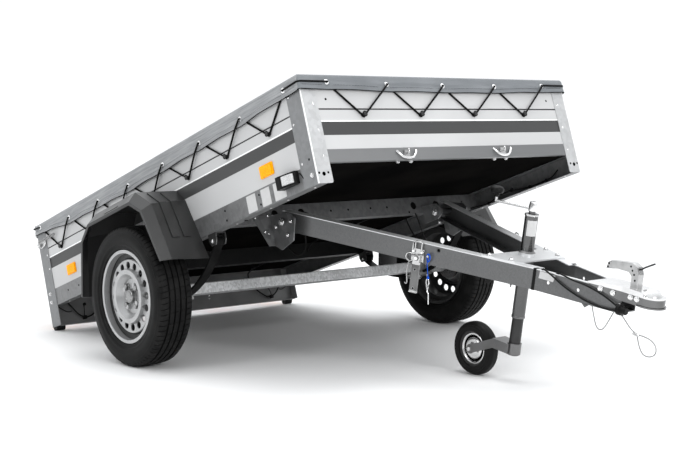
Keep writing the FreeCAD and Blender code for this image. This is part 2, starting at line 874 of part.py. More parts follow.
def rim_outline():
    """Section of a steel wheel, from its outboard flange round the tyre side and back."""
    sheet = rim_sheet
    half = rim_half_width
    seat = bead_radius - running_clearance
    under = seat - sheet
    well = rim_well_radius
    inner = rim_well_half_width
    crown = wheel_track_half - disc_crown_face
    band = wheel_track_half - disc_band_face
    mount = wheel_track_half - hub_flange_face
    bowl = wheel_bolt_circle + 2 * wheel_bolt_radius
    crown_in = disc_crown_radius - disc_crown_half
    crown_out = disc_crown_radius + disc_crown_half
    band_out = disc_hole_circle + disc_hole_radius + sheet / 2
    return [
        (rim_flange_radius, -half), (rim_flange_radius, -half + sheet), (seat, -half + sheet),
        (seat, -inner - sheet), (well + sheet, -inner), (well + sheet, inner), (seat, inner + sheet),
        (seat, half - sheet), (rim_flange_radius, half - sheet), (rim_flange_radius, half),
        (under, half), (under, inner + 2 * sheet), (well, inner + sheet), (well, -inner + sheet),
        (band_out, band + sheet), (crown_out, band + sheet), (crown_out - sheet, crown + sheet),
        (crown_in, crown + sheet), (bowl + sheet, mount), (hub_hole_radius, mount),
        (hub_hole_radius, mount - sheet), (bowl, mount - sheet), (crown_in, crown),
        (crown_out, crown), (crown_out + sheet, band), (band_out + sheet, band),
        (well, -inner - sheet), (under, -inner - 2 * sheet), (under, -half),
    ]


def around(count, radius):
    """Places spaced evenly on a circle about the wheel's axle, in x and z."""
    turns = [2 * pi * (number + 1 / 2) / count for number in range(count)]
    return [(axle_x + radius * cos(turn), axle_z + radius * sin(turn)) for turn in turns]


def rim():
    """Steel wheel of the right side, with its ring of holes and its wheel bolts."""
    wheel = spun_y(rim_outline(), axle_x, -wheel_track_half, axle_z)
    holes = [rod_y(disc_hole_radius, x, -disc_crown_face - overrun, -wheel_track_half, z)
             for x, z in around(disc_hole_count, disc_hole_circle)]
    wheel = wheel.cut(Part.makeCompound(holes))
    face = -hub_flange_face - rim_sheet
    bolts = [rod_y(wheel_bolt_radius, x, face - wheel_bolt_length, face + overrun, z)
             for x, z in around(wheel_bolt_count, wheel_bolt_circle)]
    return wheel.multiFuse(bolts)


def hub():
    """Hub barrel, flange and dust cap of the right side."""
    face = -hub_flange_face
    tip = face - dust_cap_length
    barrel = rod_y(hub_barrel_radius, axle_x, face, -hub_barrel_inner_face, axle_z)
    flange = rod_y(hub_flange_radius, axle_x, face, face + hub_flange_thickness, axle_z)
    cap = rod_y(dust_cap_radius, axle_x, tip, face, axle_z)
    cap = rounded(cap, dust_cap_crown, lambda edge: abs(edge.BoundBox.YMax - tip) < side_clearance)
    whole = joined([barrel, flange, cap])
    return whole.cut(rod_y(spindle_radius + running_clearance, axle_x, -spindle_tip - side_clearance,
                           -hub_barrel_inner_face + overrun, axle_z))


# Mudguards

def guard_ring(corners, y, inward):
    """Closed outline of a mudguard at one distance from the box, moved inward by a sheet's share."""
    foot, shoulder, top = corners
    half = [(foot[0] - inward, foot[1]), (shoulder[0] - inward, shoulder[1] - inward / 2),
            (top[0] - inward / 2, top[1] - inward)]
    front = [V(axle_x + reach, y, height) for reach, height in half]
    back = [V(axle_x - reach, y, height) for reach, height in reversed(half)]
    return Part.makePolygon(front + back + front[:1])


def guard_block(inward):
    """The space inside a mudguard: it widens from the box to a ridge, then a bevel turns down."""
    wall = guard_ring(guard_wall_corners, -wall_outer + inward / 2, inward)
    ridge = guard_ring(guard_ridge_corners, -guard_ridge, inward)
    rim_edge = guard_ring(guard_rim_corners, -guard_outer + inward, inward)
    return Part.makeLoft([wall, ridge], True, True).fuse(Part.makeLoft([ridge, rim_edge], True, True))


def guard_between(corner, y):
    """A corner of the mudguard's outline between the box and the ridge, as reach and height."""
    share = (-y - wall_outer) / (guard_ridge - wall_outer)
    near = guard_wall_corners[corner]
    far = guard_ridge_corners[corner]
    return (near[0] + (far[0] - near[0]) * share, near[1] + (far[1] - near[1]) * share)


def mudguard():
    """Moulded shell over the wheel, closed to the outside by a lip and open below."""
    shell = guard_block(0).cut(guard_block(guard_sheet))
    mouth = guard_ring(guard_rim_corners, -guard_outer - overrun, guard_lip)
    window = Part.Face(mouth).extrude(V(0, guard_outer - guard_ridge, 0))
    foot = guard_wall_corners[0][0] - guard_sheet
    low = guard_foot_height
    below = slab(axle_x - foot, axle_x + foot, -guard_outer + guard_sheet, -wall_outer + overrun,
                 low - overrun, low + overrun)
    shell = shell.cut(window).cut(below)
    width = guard_ridge - wall_outer
    ribs = []
    for end in (-1, 1):
        for share in guard_rib_places_share:
            middle = -wall_outer - width * share
            ribs.append(raised_rib(middle, end))
    return joined([shell] + ribs)


def rib_ring(y, end):
    """Section of a raised rib that climbs the slope and the break, at one distance from the box."""
    foot, shoulder, top = [V(axle_x + end * reach, y, height)
                           for reach, height in (guard_between(corner, y) for corner in range(3))]
    out = V(end, 0, 0)
    start = foot + (shoulder - foot) * (1 - guard_rib_share)
    normals = []
    for low, high in ((foot, shoulder), (shoulder, top)):
        normal = (high - low).cross(Y_AXIS)
        normal.normalize()
        normals.append(normal if normal.dot(out) > 0 else normal * -1)
    lift = guard_rib_height
    sink = guard_sheet / 2
    along = top - shoulder
    along.normalize()
    crest = top - along * guard_rib_width / 2
    blend = normals[0] + normals[1]
    blend.normalize()
    spread = lift / blend.dot(normals[0])
    ring = [start - normals[0] * sink, shoulder - blend * sink, crest - normals[1] * sink,
            crest + normals[1] * lift, shoulder + blend * spread, start + normals[0] * lift]
    return Part.makePolygon(ring + ring[:1])


def raised_rib(y, end):
    """A flat rib on the mudguard's slope that follows how the slope widens."""
    half = guard_rib_width / 2
    return Part.makeLoft([rib_ring(y - half, end), rib_ring(y + half, end)], True, True)


# Lamps, reflectors and knobs on the sides

def side_reflector(back):
    x = -back
    body = slab(x - reflector_length / 2, x + reflector_length / 2, -wall_outer - reflector_depth,
                -wall_outer, reflector_middle_height - reflector_height / 2,
                reflector_middle_height + reflector_height / 2)
    return rounded(body, reflector_corner, lambda edge: runs_along(edge, Y_AXIS))


def marker_housing():
    """Rubber-clad housing at the front corner; its lens looks forward."""
    back = -marker_back - marker_length / 2
    front = -marker_back + marker_length / 2
    low = marker_middle_height - marker_height / 2
    high = marker_middle_height + marker_height / 2
    wall = -wall_outer
    outline = [(back, wall), (front, wall), (front, wall - marker_depth / 2),
               (back + marker_length / 4, wall - marker_depth), (back, wall - marker_depth)]
    body = prism_z(outline, low, high)
    return rounded(body, marker_corner / 2, lambda edge: runs_along(edge, Z_AXIS)
                   and edge.CenterOfMass.y < wall - side_clearance)


def marker_lens():
    back = -marker_back - marker_length / 2
    front = -marker_back + marker_length / 2
    wall = -wall_outer
    run = V(front - back - marker_length / 4, marker_depth / 2, 0)
    length = run.Length
    run.normalize()
    out = V(run.y, -run.x, 0)
    start = V(back + marker_length / 4, wall - marker_depth, 0) + run * (length - marker_lens_length) / 2
    ring = [start, start + run * marker_lens_length,
            start + run * (marker_lens_length - marker_lens_depth) + out * marker_lens_depth,
            start + run * marker_lens_depth + out * marker_lens_depth]
    low = marker_middle_height - marker_lens_height / 2
    return prism_z([(point.x, point.y) for point in ring], low, low + marker_lens_height)


def knob(x, y, outward):
    """A small mushroom knob on a board's outer face."""
    neck = Part.makeCylinder(knob_neck_radius, knob_depth, V(x, y, knob_height), outward)
    head_at = V(x, y, knob_height) + outward * (knob_depth - knob_head_depth)
    head = Part.makeCone(knob_neck_radius, knob_radius, knob_head_depth, head_at, outward)
    return joined([neck, head])


def knobs():
    pieces = []
    middle = -box_length / 2
    for number in range(-side_knobs_half, side_knobs_half + 1):
        x = middle + number * knob_pitch
        for side in (-1, 1):
            pieces.append(knob(x, side * wall_outer, V(0, side, 0)))
    for number in range(-front_knobs_half, front_knobs_half):
        y = (number + 1 / 2) * knob_pitch
        pieces.append(knob(-post_sheet, y, X_AXIS))
    return Part.makeCompound(pieces)


# Cover

def cover():
    """Sheet over the box with skirts on both sides and in front."""
    bottom = board_top + cover_sheet - cover_skirt
    back = -box_length - cover_gap
    front = cover_gap
    side = half_width + cover_gap
    low = board_top + running_clearance
    outer = slab(back - cover_sheet, front + cover_sheet, -side - cover_sheet, side + cover_sheet,
                 bottom, low + cover_sheet)
    outer = rounded(outer, cover_corner / 2, lambda edge: runs_along(edge, Z_AXIS)
                    and edge.CenterOfMass.x > back)
    inner = slab(back - cover_sheet - overrun, front, -side, side, bottom - overrun, low)
    return outer.cut(inner)


def cover_flap():
    """The skirt that hangs behind the tail board."""
    bottom = board_top + cover_sheet - cover_skirt
    back = -box_length - cover_gap
    side = half_width + cover_gap
    inset = side - running_clearance
    return slab(back - cover_sheet, back, -inset, inset, bottom, board_top)


# Tail board latches

def gate_catch():
    """Over-centre catch on the rear post, hooked on the tail board's edge."""
    wall = -half_width
    back = -box_length
    base = slab(back + catch_hook, back + catch_length, wall - catch_depth / 2, wall,
                catch_height - catch_width / 2, catch_height + catch_width / 2)
    lever = slab(back + catch_hook, back + catch_length * 3 / 4, wall - catch_depth,
                 wall - catch_depth / 2, catch_height - catch_width / 3, catch_height + catch_width / 3)
    return joined([base, lever])


# Drawbar hinge on the chassis

def hinge_bracket():
    """Outer and inner leaf on a flange that is bolted to the front crossmember."""
    face = -front_cross_face
    front = face + hinge_leaf_sheet
    outer = -hinge_outer_leaf
    inner = -hinge_inner_leaf
    flange = prism_x([(outer - hinge_flange_out, hinge_flange_top),
                      (inner, hinge_flange_top), (inner, rail_height - cross_height - cross_sheet),
                      (outer + hinge_leaf_sheet, rail_height - cross_height - cross_sheet),
                      (outer, -hinge_flange_drop),
                      (outer - hinge_flange_foot, -hinge_flange_drop)], face, front)
    outline = [(face, hinge_flange_top), (face, -hinge_flange_drop),
               (-hinge_leaf_tip, -hinge_leaf_tip_drop), (-hinge_leaf_heel, -hinge_leaf_heel_drop),
               (-hinge_leaf_front, -post_corner * 2), (-hinge_leaf_shoulder, hinge_leaf_shoulder_height),
               (-hinge_leaf_crown, hinge_leaf_crown_height)]
    leaf_out = prism_y(outline, outer, outer + hinge_leaf_sheet)
    short = [(face, hinge_flange_top), (face, hinge_z - hinge_bush_radius * 2),
             (hinge_x, hinge_z - hinge_bush_radius * 2),
             (hinge_x + hinge_bush_radius * 2, hinge_z - hinge_bush_radius),
             (hinge_x + hinge_bush_radius * 2, hinge_z + hinge_bush_radius / 2),
             (-hinge_leaf_crown, hinge_leaf_crown_height)]
    leaf_in = prism_y(short, inner - hinge_leaf_sheet, inner)
    pieces = [flange, leaf_out, leaf_in]
    pieces.append(rod_y(hinge_bolt_radius, hinge_x, outer, inner, hinge_z))
    pieces.append(rod_y(hinge_bolt_head_radius, hinge_x, outer - hinge_bolt_head, outer, hinge_z))
    pieces.append(rod_y(hinge_bolt_head_radius, hinge_x, inner, inner + hinge_bolt_head, hinge_z))
    return joined(pieces)


# Drawbar

def along_arm(u):
    """Distance of the right arm's outer face from the middle at u."""
    return arm_half_at_hinge - arm_slope * u


def arm():
    """Channel that opens toward the middle, with the hinge bush through its end."""
    half = arm_height / 2
    deep = arm_flange / cos(radians(arm_turn))
    outline = [(-arm_back, -along_arm(-arm_back)), (arm_end, -along_arm(arm_end)),
               (arm_end, -along_arm(arm_end) + deep), (-arm_back, -along_arm(-arm_back) + deep)]
    web = arm_sheet / cos(radians(arm_turn))
    outer = prism_z(outline, -half, half)
    long_back = -arm_back - overrun
    long_end = arm_end + overrun
    hollow = prism_z([(long_back, -along_arm(long_back) + web), (long_end, -along_arm(long_end) + web),
                      (long_end, -along_arm(long_end) + deep + overrun),
                      (long_back, -along_arm(long_back) + deep + overrun)],
                     -half + arm_sheet, half - arm_sheet)
    channel = outer.cut(hollow)
    low = -hinge_outer_leaf + hinge_leaf_sheet + side_clearance
    high = -hinge_inner_leaf - hinge_leaf_sheet - side_clearance
    bush = rod_y(hinge_bush_radius, 0, low, high, 0)
    hole = rod_y(hinge_bolt_radius + running_clearance, 0, low - overrun, high + overrun, 0)
    face = -along_arm(arm_hole_place)
    small = rod_y(arm_hole_radius, arm_hole_place, face - arm_flange, face + arm_flange / 2,
                  arm_hole_height)
    return joined([channel, bush]).cut(hole).cut(small)


def nose_line(u):
    """Distance of the nose plates' outer faces from the middle at u."""
    share = (u - arm_end) / (nose_front - arm_end)
    return nose_half_back + (nose_half_front - nose_half_back) * share


def nose_band(back, front, width, low, high, side):
    """A strip of one nose plate between two heights, inward from its outer face."""
    return prism_z([(back, side * nose_line(back)), (front, side * nose_line(front)),
                    (front, side * (nose_line(front) - width)),
                    (back, side * (nose_line(back) - width))], low, high)


def nose():
    """Two plates that close in on the coupling, with lips on top and a floor in front."""
    half = arm_height / 2
    pieces = []
    for side in (-1, 1):
        pieces.append(nose_band(arm_end, nose_front, nose_sheet, -half, half, side))
        pieces.append(nose_band(arm_end, nose_cut_back, nose_lip, half - nose_sheet, half, side))
    floor = [(nose_floor_back, -nose_line(nose_floor_back)), (nose_front, -nose_line(nose_front)),
             (nose_front, nose_line(nose_front)), (nose_floor_back, nose_line(nose_floor_back))]
    pieces.append(prism_z(floor, -half, -half + nose_sheet))
    tab = nose_line(nose_tab_back)
    pieces.append(prism_y([(nose_tab_back, -half), (nose_tab_front, -half),
                           ((nose_tab_back + nose_tab_front) / 2, -half - nose_tab_drop)],
                          -tab, -tab + nose_sheet))
    plates = joined(pieces)
    cut_away = prism_y([(nose_cut_back, half), (nose_front + overrun, nose_cut_top),
                        (nose_front + overrun, half + overrun), (nose_cut_back, half + overrun)],
                       -nose_half_back, nose_half_back)
    plates = plates.cut(cut_away)
    for place, height in nose_holes:
        plates = plates.cut(rod_y(nose_hole_radius, place, -nose_half_back, nose_half_back, height))
    return plates


def jack_bracket():
    """Plate between the arms with the sleeve that holds the jack's outer tube."""
    half = arm_height / 2
    inner_back = along_arm(jack_plate_back)
    inner_front = along_arm(jack_plate_front)
    plate = prism_z([(jack_plate_back, -inner_back), (jack_plate_front, -inner_front),
                     (jack_plate_front, inner_front), (jack_plate_back, inner_back)],
                    half, half + jack_plate)
    sleeve = rod_z(jack_outer_radius + jack_sleeve_wall, jack_from_hinge, 0, -half, half + jack_plate * 3)
    bracket = joined([plate, sleeve])
    return bracket.cut(rod_z(jack_outer_radius, jack_from_hinge, 0, -half - overrun,
                             half + jack_plate * 3 + overrun))


def coupling_head():
    """Pressed head for a ball: a shank over the nose, a domed housing and its socket."""
    half = arm_height / 2
    side = prism_y([(shank_back, half), (shank_foot, shank_bottom), (ball_from_hinge, shank_bottom),
                    (ball_from_hinge, shank_top), (shank_foot, shank_top), (shank_back, shank_back_top)],
                   -nose_half_back, nose_half_back)
    wall = shank_wall
    plan = prism_z([(shank_back, -nose_line(shank_back) - wall), (nose_front, -nose_line(nose_front) - wall),
                    (ball_from_hinge, -shank_half), (ball_from_hinge, shank_half),
                    (nose_front, nose_line(nose_front) + wall), (shank_back, nose_line(shank_back) + wall)],
                   0, shank_top + overrun)
    gap = running_clearance
    end = nose_front + gap
    inside = prism_z([(shank_back - overrun, -nose_line(shank_back) - gap - overrun / 2),
                      (end, -nose_line(nose_front) - gap),
                      (end, nose_line(nose_front) + gap),
                      (shank_back - overrun, nose_line(shank_back) + gap + overrun / 2)],
                     -overrun, half + gap)
    shank = side.common(plan).cut(inside)
    housing = rod_z(shank_half, ball_from_hinge, 0, shank_bottom, shank_top - head_shoulder)
    dome = Part.makeSphere(head_radius, V(ball_from_hinge - head_set_back, 0, head_crown))
    dome = dome.common(slab(ball_from_hinge - shank_half - head_set_back, ball_from_hinge + shank_half,
                            -shank_half, shank_half, head_crown, head_crown + head_radius))
    rim_ring = rod_z(shank_half + rim_proud, ball_from_hinge, 0, shank_bottom, shank_bottom + rim_height)
    head = joined([shank, housing, dome, rim_ring])
    socket_top = shank_bottom + socket_depth
    socket = rod_z(ball_bore_radius, ball_from_hinge, 0, shank_bottom - overrun, socket_top)
    ball = Part.makeSphere(ball_bore_radius, V(ball_from_hinge, 0, socket_top))
    head = head.cut(joined([socket, ball]))
    bolts = []
    for place, height in shank_bolts:
        face = nose_line(place) + wall / 2 if place < nose_front else shank_half - shank_bolt_sink
        bolts.append(rod_y(shank_bolt_radius, place, -face - shank_bolt_length, -face, height))
        bolts.append(rod_y(shank_bolt_radius, place, face, face + shank_bolt_length, height))
    return joined([head] + bolts)


def coupling_handle():
    """Pressed lever that rises from the head and turns back over the shank, with its pointer."""
    lever = prism_y(handle_outline, -handle_half, handle_half)
    lever = rounded(lever, handle_edge, lambda edge: edge.Length > handle_edge * 2
                    and edge.BoundBox.YLength < side_clearance
                    and edge.CenterOfMass.z > handle_round_from)
    pointer = pipe([V(*point) for point in pointer_route], pointer_radius, 2 * pointer_radius)
    handle = joined([lever, pointer]).cut(coupling_head())
    return max(handle.Solids, key=lambda solid: solid.Volume)


# Front hooks on the box, which the latches of the arms catch when it is down

def front_hook():
    face = -post_sheet + sill_proud
    y = -hook_from_middle
    plate = slab(face, face + hook_sheet, y - hook_width / 2, y + hook_width / 2,
                 hook_height - hook_width / 2, hook_height + hook_width / 2)
    reach = face + hook_reach
    claw = pipe([V(face + hook_sheet / 2, y, hook_height), V(reach, y, hook_height),
                 V(reach, y, hook_height + hook_rise)], hook_radius, 2 * hook_radius)
    return joined([plate, claw])


# Cords

def cord_solid(route, radius, name):
    """A limp cord: straight runs joined by the largest arcs that its runs allow."""
    points = [V(*point) for point in route]
    edges = []
    radii = []
    start = points[0]
    for number in range(1, len(points) - 1):
        before, corner, after = points[number - 1:number + 2]
        shorter = min((corner - before).Length, (after - corner).Length)
        turn = (corner - before).getAngle(after - corner)
        bend = cord_arc_share * shorter / tan(turn / 2)
        radii.append(round(bend, 1))
        leave, middle, join = bend_points(before, corner, after, bend)
        edges.append(Part.LineSegment(start, leave).toShape())
        edges.append(Part.Arc(leave, middle, join).toShape())
        start = join
    edges.append(Part.LineSegment(start, points[-1]).toShape())
    path = Part.Wire(edges)
    profile = Part.Wire(Part.makeCircle(radius, points[0], points[1] - points[0]))
    tube = path.makePipeShell([profile], True, False)
    print(name, "length", round(path.Length), "least radius", min(radii), "volume share",
          round(tube.Volume / (path.Length * pi * radius ** 2), 4))
    return tube


def safety_cable():
    """Wire rope from the nose to its ferrule, and the loop that the ferrule closes."""
    lead = cord_solid(safety_cable_route, wire_radius, "safety cable")
    loop = cord_solid(safety_loop_route, wire_radius, "safety loop")
    start = V(*safety_cable_route[-1]) - V(*safety_cable_route[-2])
    start.normalize()
    at = V(*safety_cable_route[-1]) - start * ferrule_radius
    ferrule = Part.makeCylinder(ferrule_radius, ferrule_front - ferrule_back, at, start)
    return joined([lead, loop, ferrule])


def plug():
    """Round plug with a wider collar, held beside the nose's front end."""
    x, y, z = plug_place
    body = rod_x(plug_radius, x, x + plug_length, y, z)
    collar = rod_x(plug_collar_radius, x, x + plug_collar_length, y, z)
    return joined([body, collar])


def safety_clip():
    """Hairpin of spring wire that hangs from the lanyard."""
    return pipe([V(*point) for point in clip_route], clip_radius, 2 * clip_radius)


# Jockey wheel

def jack_outer():
    """Outer tube with its cap; the hollow takes the inner tube."""
    tube = rod_z(jack_outer_radius, jack_from_hinge, 0, jack_outer_low, jack_top)
    bore = rod_z(jack_inner_radius + jack_clearance, jack_from_hinge, 0, jack_outer_low - overrun,
                 jack_top - jack_outer_wall * 2)
    neck = rod_z(jack_cap_radius, jack_from_hinge, 0, jack_top, jack_cap_top)
    return joined([tube.cut(bore), neck])


def jack_crank():
    """Crank arm that leaves the neck, turns up and ends in its knob."""
    turn = radians(crank_turn)
    out = V(-cos(turn), -sin(turn), 0)
    start = V(jack_from_hinge, 0, crank_height) + out * jack_cap_radius
    reach = crank_reach - jack_cap_radius
    arm_rod = Part.makeCylinder(crank_radius, reach, start, out)
    corner = start + out * reach
    elbow = Part.makeSphere(crank_radius, corner)
    stem = Part.makeCylinder(crank_radius, crank_rise, corner, Z_AXIS)
    knob_at = corner + V(0, 0, crank_rise - crank_knob_length / 2)
    grip = Part.makeCylinder(crank_knob_radius, crank_knob_length, knob_at, Z_AXIS)
    grip = grip.makeFillet(crank_radius, [grip.Edges[0], grip.Edges[2]])
    return joined([arm_rod, elbow, stem, grip])


def jack_inner():
    """Inner tube, raised and lowered by the crank's screw."""
    top = jack_inner_low + jack_inner_length
    tube = rod_z(jack_inner_radius, jack_from_hinge, 0, jack_inner_low, top)
    bore = rod_z(jack_inner_radius - jack_inner_wall, jack_from_hinge, 0, jack_inner_low + jack_inner_wall,
                 top + overrun)
    return tube.cut(bore)


def jockey_height():
    """Height of the jockey wheel's hub in the drawbar frame, so that it stands on the ground."""
    turn = radians(drawbar_slope)
    hinge_height = standing_point(hinge_x, 0, hinge_z).z
    return (jockey_radius - hinge_height + jockey_from_hinge * sin(turn)) / cos(turn)


def jockey_fork():
    """Collar that swivels on the inner tube, with two bars back to the wheel's axle."""
    hub_w = jockey_height()
    low = jack_inner_low + fork_collar_gap
    high = low + fork_collar_height
    radius = jack_inner_radius + jack_clearance + fork_collar_wall
    collar = rod_z(radius, jack_from_hinge, 0, low, high)
    middle = (low + high) / 2
    pieces = [collar]
    bridge_back = jockey_from_hinge + jockey_radius + fork_collar_gap * 2
    bridge = slab(bridge_back, jack_from_hinge, -fork_half, fork_half, middle - fork_height / 2,
                  middle + fork_height / 2)
    pieces.append(bridge)
    for side in (-1, 1):
        y = side * fork_half
        bar = [(bridge_back + fork_sheet, middle + fork_height / 2),
               (bridge_back + fork_sheet, middle - fork_height / 2),
               (jockey_from_hinge, hub_w - fork_height / 2),
               (jockey_from_hinge, hub_w + fork_height / 2)]
        pieces.append(prism_y(bar, y, y - side * fork_sheet))
        pieces.append(rod_y(fork_height / 2, jockey_from_hinge, min(y, y - side * fork_sheet),
                            max(y, y - side * fork_sheet), hub_w))
    pieces.append(rod_y(jockey_axle_radius, jockey_from_hinge, -fork_half, fork_half, hub_w))
    fork = joined(pieces)
    return fork.cut(rod_z(jack_inner_radius + jack_clearance, jack_from_hinge, 0, low - overrun,
                          high + overrun))


def jockey_tyre():
    hub_w = jockey_height()
    half = jockey_width / 2
    outer = Part.makeCylinder(jockey_radius, jockey_width, V(jockey_from_hinge, -half, hub_w), Y_AXIS)
    outer = outer.makeFillet(jockey_corner, [outer.Edges[0], outer.Edges[2]])
    return outer.cut(rod_y(jockey_rim_radius, jockey_from_hinge, -half - overrun, half + overrun, hub_w))


def jockey_rim():
    """Two pressed dishes and a hub tube that turns on the fork's axle."""
    hub_w = jockey_height()
    half = jockey_width / 2 - jockey_corner / 4
    seat = jockey_rim_radius - running_clearance
    wall = jockey_rim_wall
    bore = jockey_axle_radius + running_clearance
    hub_half = fork_half - fork_sheet - side_clearance
    outline = [
        (bore, -hub_half), (jockey_hub_radius, -hub_half), (jockey_hub_radius, -half + jockey_dish),
        (seat - jockey_dish, -half + jockey_dish), (seat - wall, -half), (seat, -half), (seat, half),
        (seat - wall, half), (seat - jockey_dish, half - jockey_dish),
        (jockey_hub_radius, half - jockey_dish), (jockey_hub_radius, hub_half), (bore, hub_half),
    ]
    return spun_y(outline, jockey_from_hinge, 0, hub_w)


# Toggle latches on the outer faces of the arms

def toggle():
    """Base plate, hanging lever, pull ring and bail, laid on the right arm's outer face."""
    stand = toggle_base_depth
    foot = toggle_base_middle - toggle_base_height / 2
    base = slab(-toggle_base_length / 2, toggle_base_length / 2, -stand, 0, foot,
                foot + toggle_base_height)
    half = toggle_lever_width / 2
    lever = slab(-half, half, -stand - toggle_lever_depth, -stand, toggle_lever_top - toggle_lever_length,
                 toggle_base_middle)
    ring = Part.makeTorus(toggle_ring_radius, toggle_wire_radius,
                          V(-toggle_ring_back, -stand, toggle_base_middle - toggle_base_height / 4),
                          Y_AXIS)
    hold = toggle_bail_half
    bail = pipe([V(-hold, -stand, toggle_base_middle), V(-hold, -stand, toggle_bail_height),
                 V(hold, -stand, toggle_bail_height), V(hold, -stand, toggle_base_middle)],
                toggle_wire_radius, 2 * toggle_wire_radius)
    pin = rod_y(lanyard_pin_radius, lanyard_pin_ahead, -lanyard_pin_length, 0, lanyard_pin_height)
    latch = Part.makeCompound([joined([base, lever, ring, bail]), pin])
    latch.rotate(V(0, 0, 0), Z_AXIS, arm_turn)
    latch.translate(V(toggle_from_hinge, -along_arm(toggle_from_hinge), 0))
    return latch


def build():
    """Every node in the frame it is modelled in."""
    chassis = {
        "floor_panel": floor_panel(),
        "front_board": front_board(),
        "side_board_right": side_board(),
        "side_board_left": mirrored(side_board()),
        "front_posts": both_sides(front_post()),
        "rear_posts": both_sides(rear_post()),
        "side_rail_right": side_rail(),
        "side_rail_left": mirrored(side_rail()),
        "front_crossmember": crossmember(front_cross_face, (cross_hole_outer, cross_hole_inner)),
        "rear_crossmember": crossmember(rear_cross_face, ()),
        "lamp_board": lamp_board(),
        "rear_lamps": both_sides(rear_lamp()),
        "rear_triangles": both_sides(rear_triangle()),
        "buffers": both_sides(buffer_pad()),
        "gate_hinges": Part.makeCompound([gate_hinge(-1), gate_hinge(1)]),
        "tail_board": tail_board(),
        "gate_catches": both_sides(gate_catch()),
        "front_hooks": both_sides(front_hook()),
        "axle_beam": axle_beam(),
        "leaf_spring_right": leaf_spring(),
        "leaf_spring_left": mirrored(leaf_spring()),
        "spring_hangers": Part.makeCompound([spring_hanger(1), spring_hanger(-1),
                                             mirrored(spring_hanger(1)), mirrored(spring_hanger(-1))]),
        "hinge_bracket_right": hinge_bracket(),
        "hinge_bracket_left": mirrored(hinge_bracket()),
        "tyre_right": tyre(),
        "tyre_left": mirrored(tyre()),
        "rim_right": rim(),
        "rim_left": mirrored(rim()),
        "hub_right": hub(),
        "hub_left": mirrored(hub()),
        "mudguard_right": mudguard(),
        "mudguard_left": mirrored(mudguard()),
        "side_reflectors": Part.makeCompound([side_reflector(front_reflector_back),
                                              side_reflector(rear_reflector_back),
                                              mirrored(side_reflector(front_reflector_back)),
                                              mirrored(side_reflector(rear_reflector_back))]),
        "marker_housings": both_sides(marker_housing()),
        "marker_lenses": both_sides(marker_lens()),
        "cover_knobs": knobs(),
        "cover_sheet": cover(),
        "cover_flap": cover_flap(),
    }
    drawbar = {
        "arm_right": arm(),
        "arm_left": mirrored(arm()),
        "nose_plates": nose(),
        "jack_bracket": jack_bracket(),
        "coupling_head": coupling_head(),
        "coupling_handle": coupling_handle(),
        "jack_outer_tube": jack_outer(),
        "jack_crank": jack_crank(),
        "jack_inner_tube": jack_inner(),
        "jockey_fork": jockey_fork(),
        "jockey_tyre": jockey_tyre(),
        "jockey_rim": jockey_rim(),
        "toggle_latches": both_sides(toggle()),
        "electric_cable_upper": cord_solid(upper_cable_route, cable_radius, "upper cable"),
        "electric_cable_lower": cord_solid(lower_cable_route, cable_radius, "lower cable"),
        "electric_plug": plug(),
        "safety_cable": safety_cable(),
        "tether_wire": cord_solid(tether_route, wire_radius, "tether wire"),
        "lanyard": cord_solid(lanyard_route, lanyard_radius, "lanyard"),
        "safety_clip": safety_clip(),
    }
    placed = {name: standing(shape) for name, shape in chassis.items()}
    placed.update({name: hitched(shape) for name, shape in drawbar.items()})
    return placed


def origin_shift(placed):
    """From the ground below the axle to the ground below the middle, leaving out what hangs free."""
    held = [shape for name, shape in placed.items() if name not in cord_names]
    front = max(shape.BoundBox.XMax for shape in held)
    back = min(shape.BoundBox.XMin for shape in held)
    return -(front + back) / 2


def report_places(shift):
    """Print the joints' places in the finished frame, in metres."""
    x, z = gate_axis()
    places = {
        "axle": standing_point(axle_x, wheel_track_half, axle_z),
        "drawbar_hinge": standing_point(hinge_x, 0, hinge_z),
        "tail_board_hinge": standing_point(x, 0, z),
    }
    slope = radians(drawbar_slope)
    hinge = places["drawbar_hinge"]

    def on_drawbar(u, w):
        return V(hinge.x + u * cos(slope) + w * sin(slope), 0, hinge.z - u * sin(slope) + w * cos(slope))

    places["jack"] = on_drawbar(jack_from_hinge, 0)
    places["jockey_hub"] = on_drawbar(jockey_from_hinge, jockey_height())
    places["ball"] = on_drawbar(ball_from_hinge, shank_bottom + socket_depth)
    for name, place in places.items():
        print(name, [round((place.x + shift) / metre, 6), round(place.y / metre, 6), round(place.z / metre, 6)])
    print("jack_down", [round(-sin(slope), 6), 0, round(-cos(slope), 6)])


def main():
    os.makedirs("parts", exist_ok=True)
    placed = build()
    shift = origin_shift(placed)
    for name, shape in placed.items():
        shape.translate(V(shift, 0, 0))
        shape.exportStep("parts/" + name + ".step")
        solids = shape.Solids
        print(name, len(solids), "solids, valid", shape.isValid())
    report_places(shift)


main()
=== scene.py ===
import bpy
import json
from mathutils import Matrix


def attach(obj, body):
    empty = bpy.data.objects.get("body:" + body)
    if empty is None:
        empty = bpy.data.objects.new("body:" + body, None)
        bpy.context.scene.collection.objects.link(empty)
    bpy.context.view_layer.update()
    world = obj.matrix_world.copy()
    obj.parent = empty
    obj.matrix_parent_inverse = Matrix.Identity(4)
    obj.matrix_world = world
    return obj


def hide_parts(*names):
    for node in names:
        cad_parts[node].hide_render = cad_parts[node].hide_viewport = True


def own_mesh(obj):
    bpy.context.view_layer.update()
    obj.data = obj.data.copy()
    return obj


bl_info = {
    "name": "Tipping utility trailer",
    "version": (1, 0, 0),
    "blender": (4, 5, 0),
    "location": "3D View > Sidebar > Trailer",
    "description": "Dresses the frame of a light tipping trailer with its finishes and fine pieces",
    "category": "Object",
}

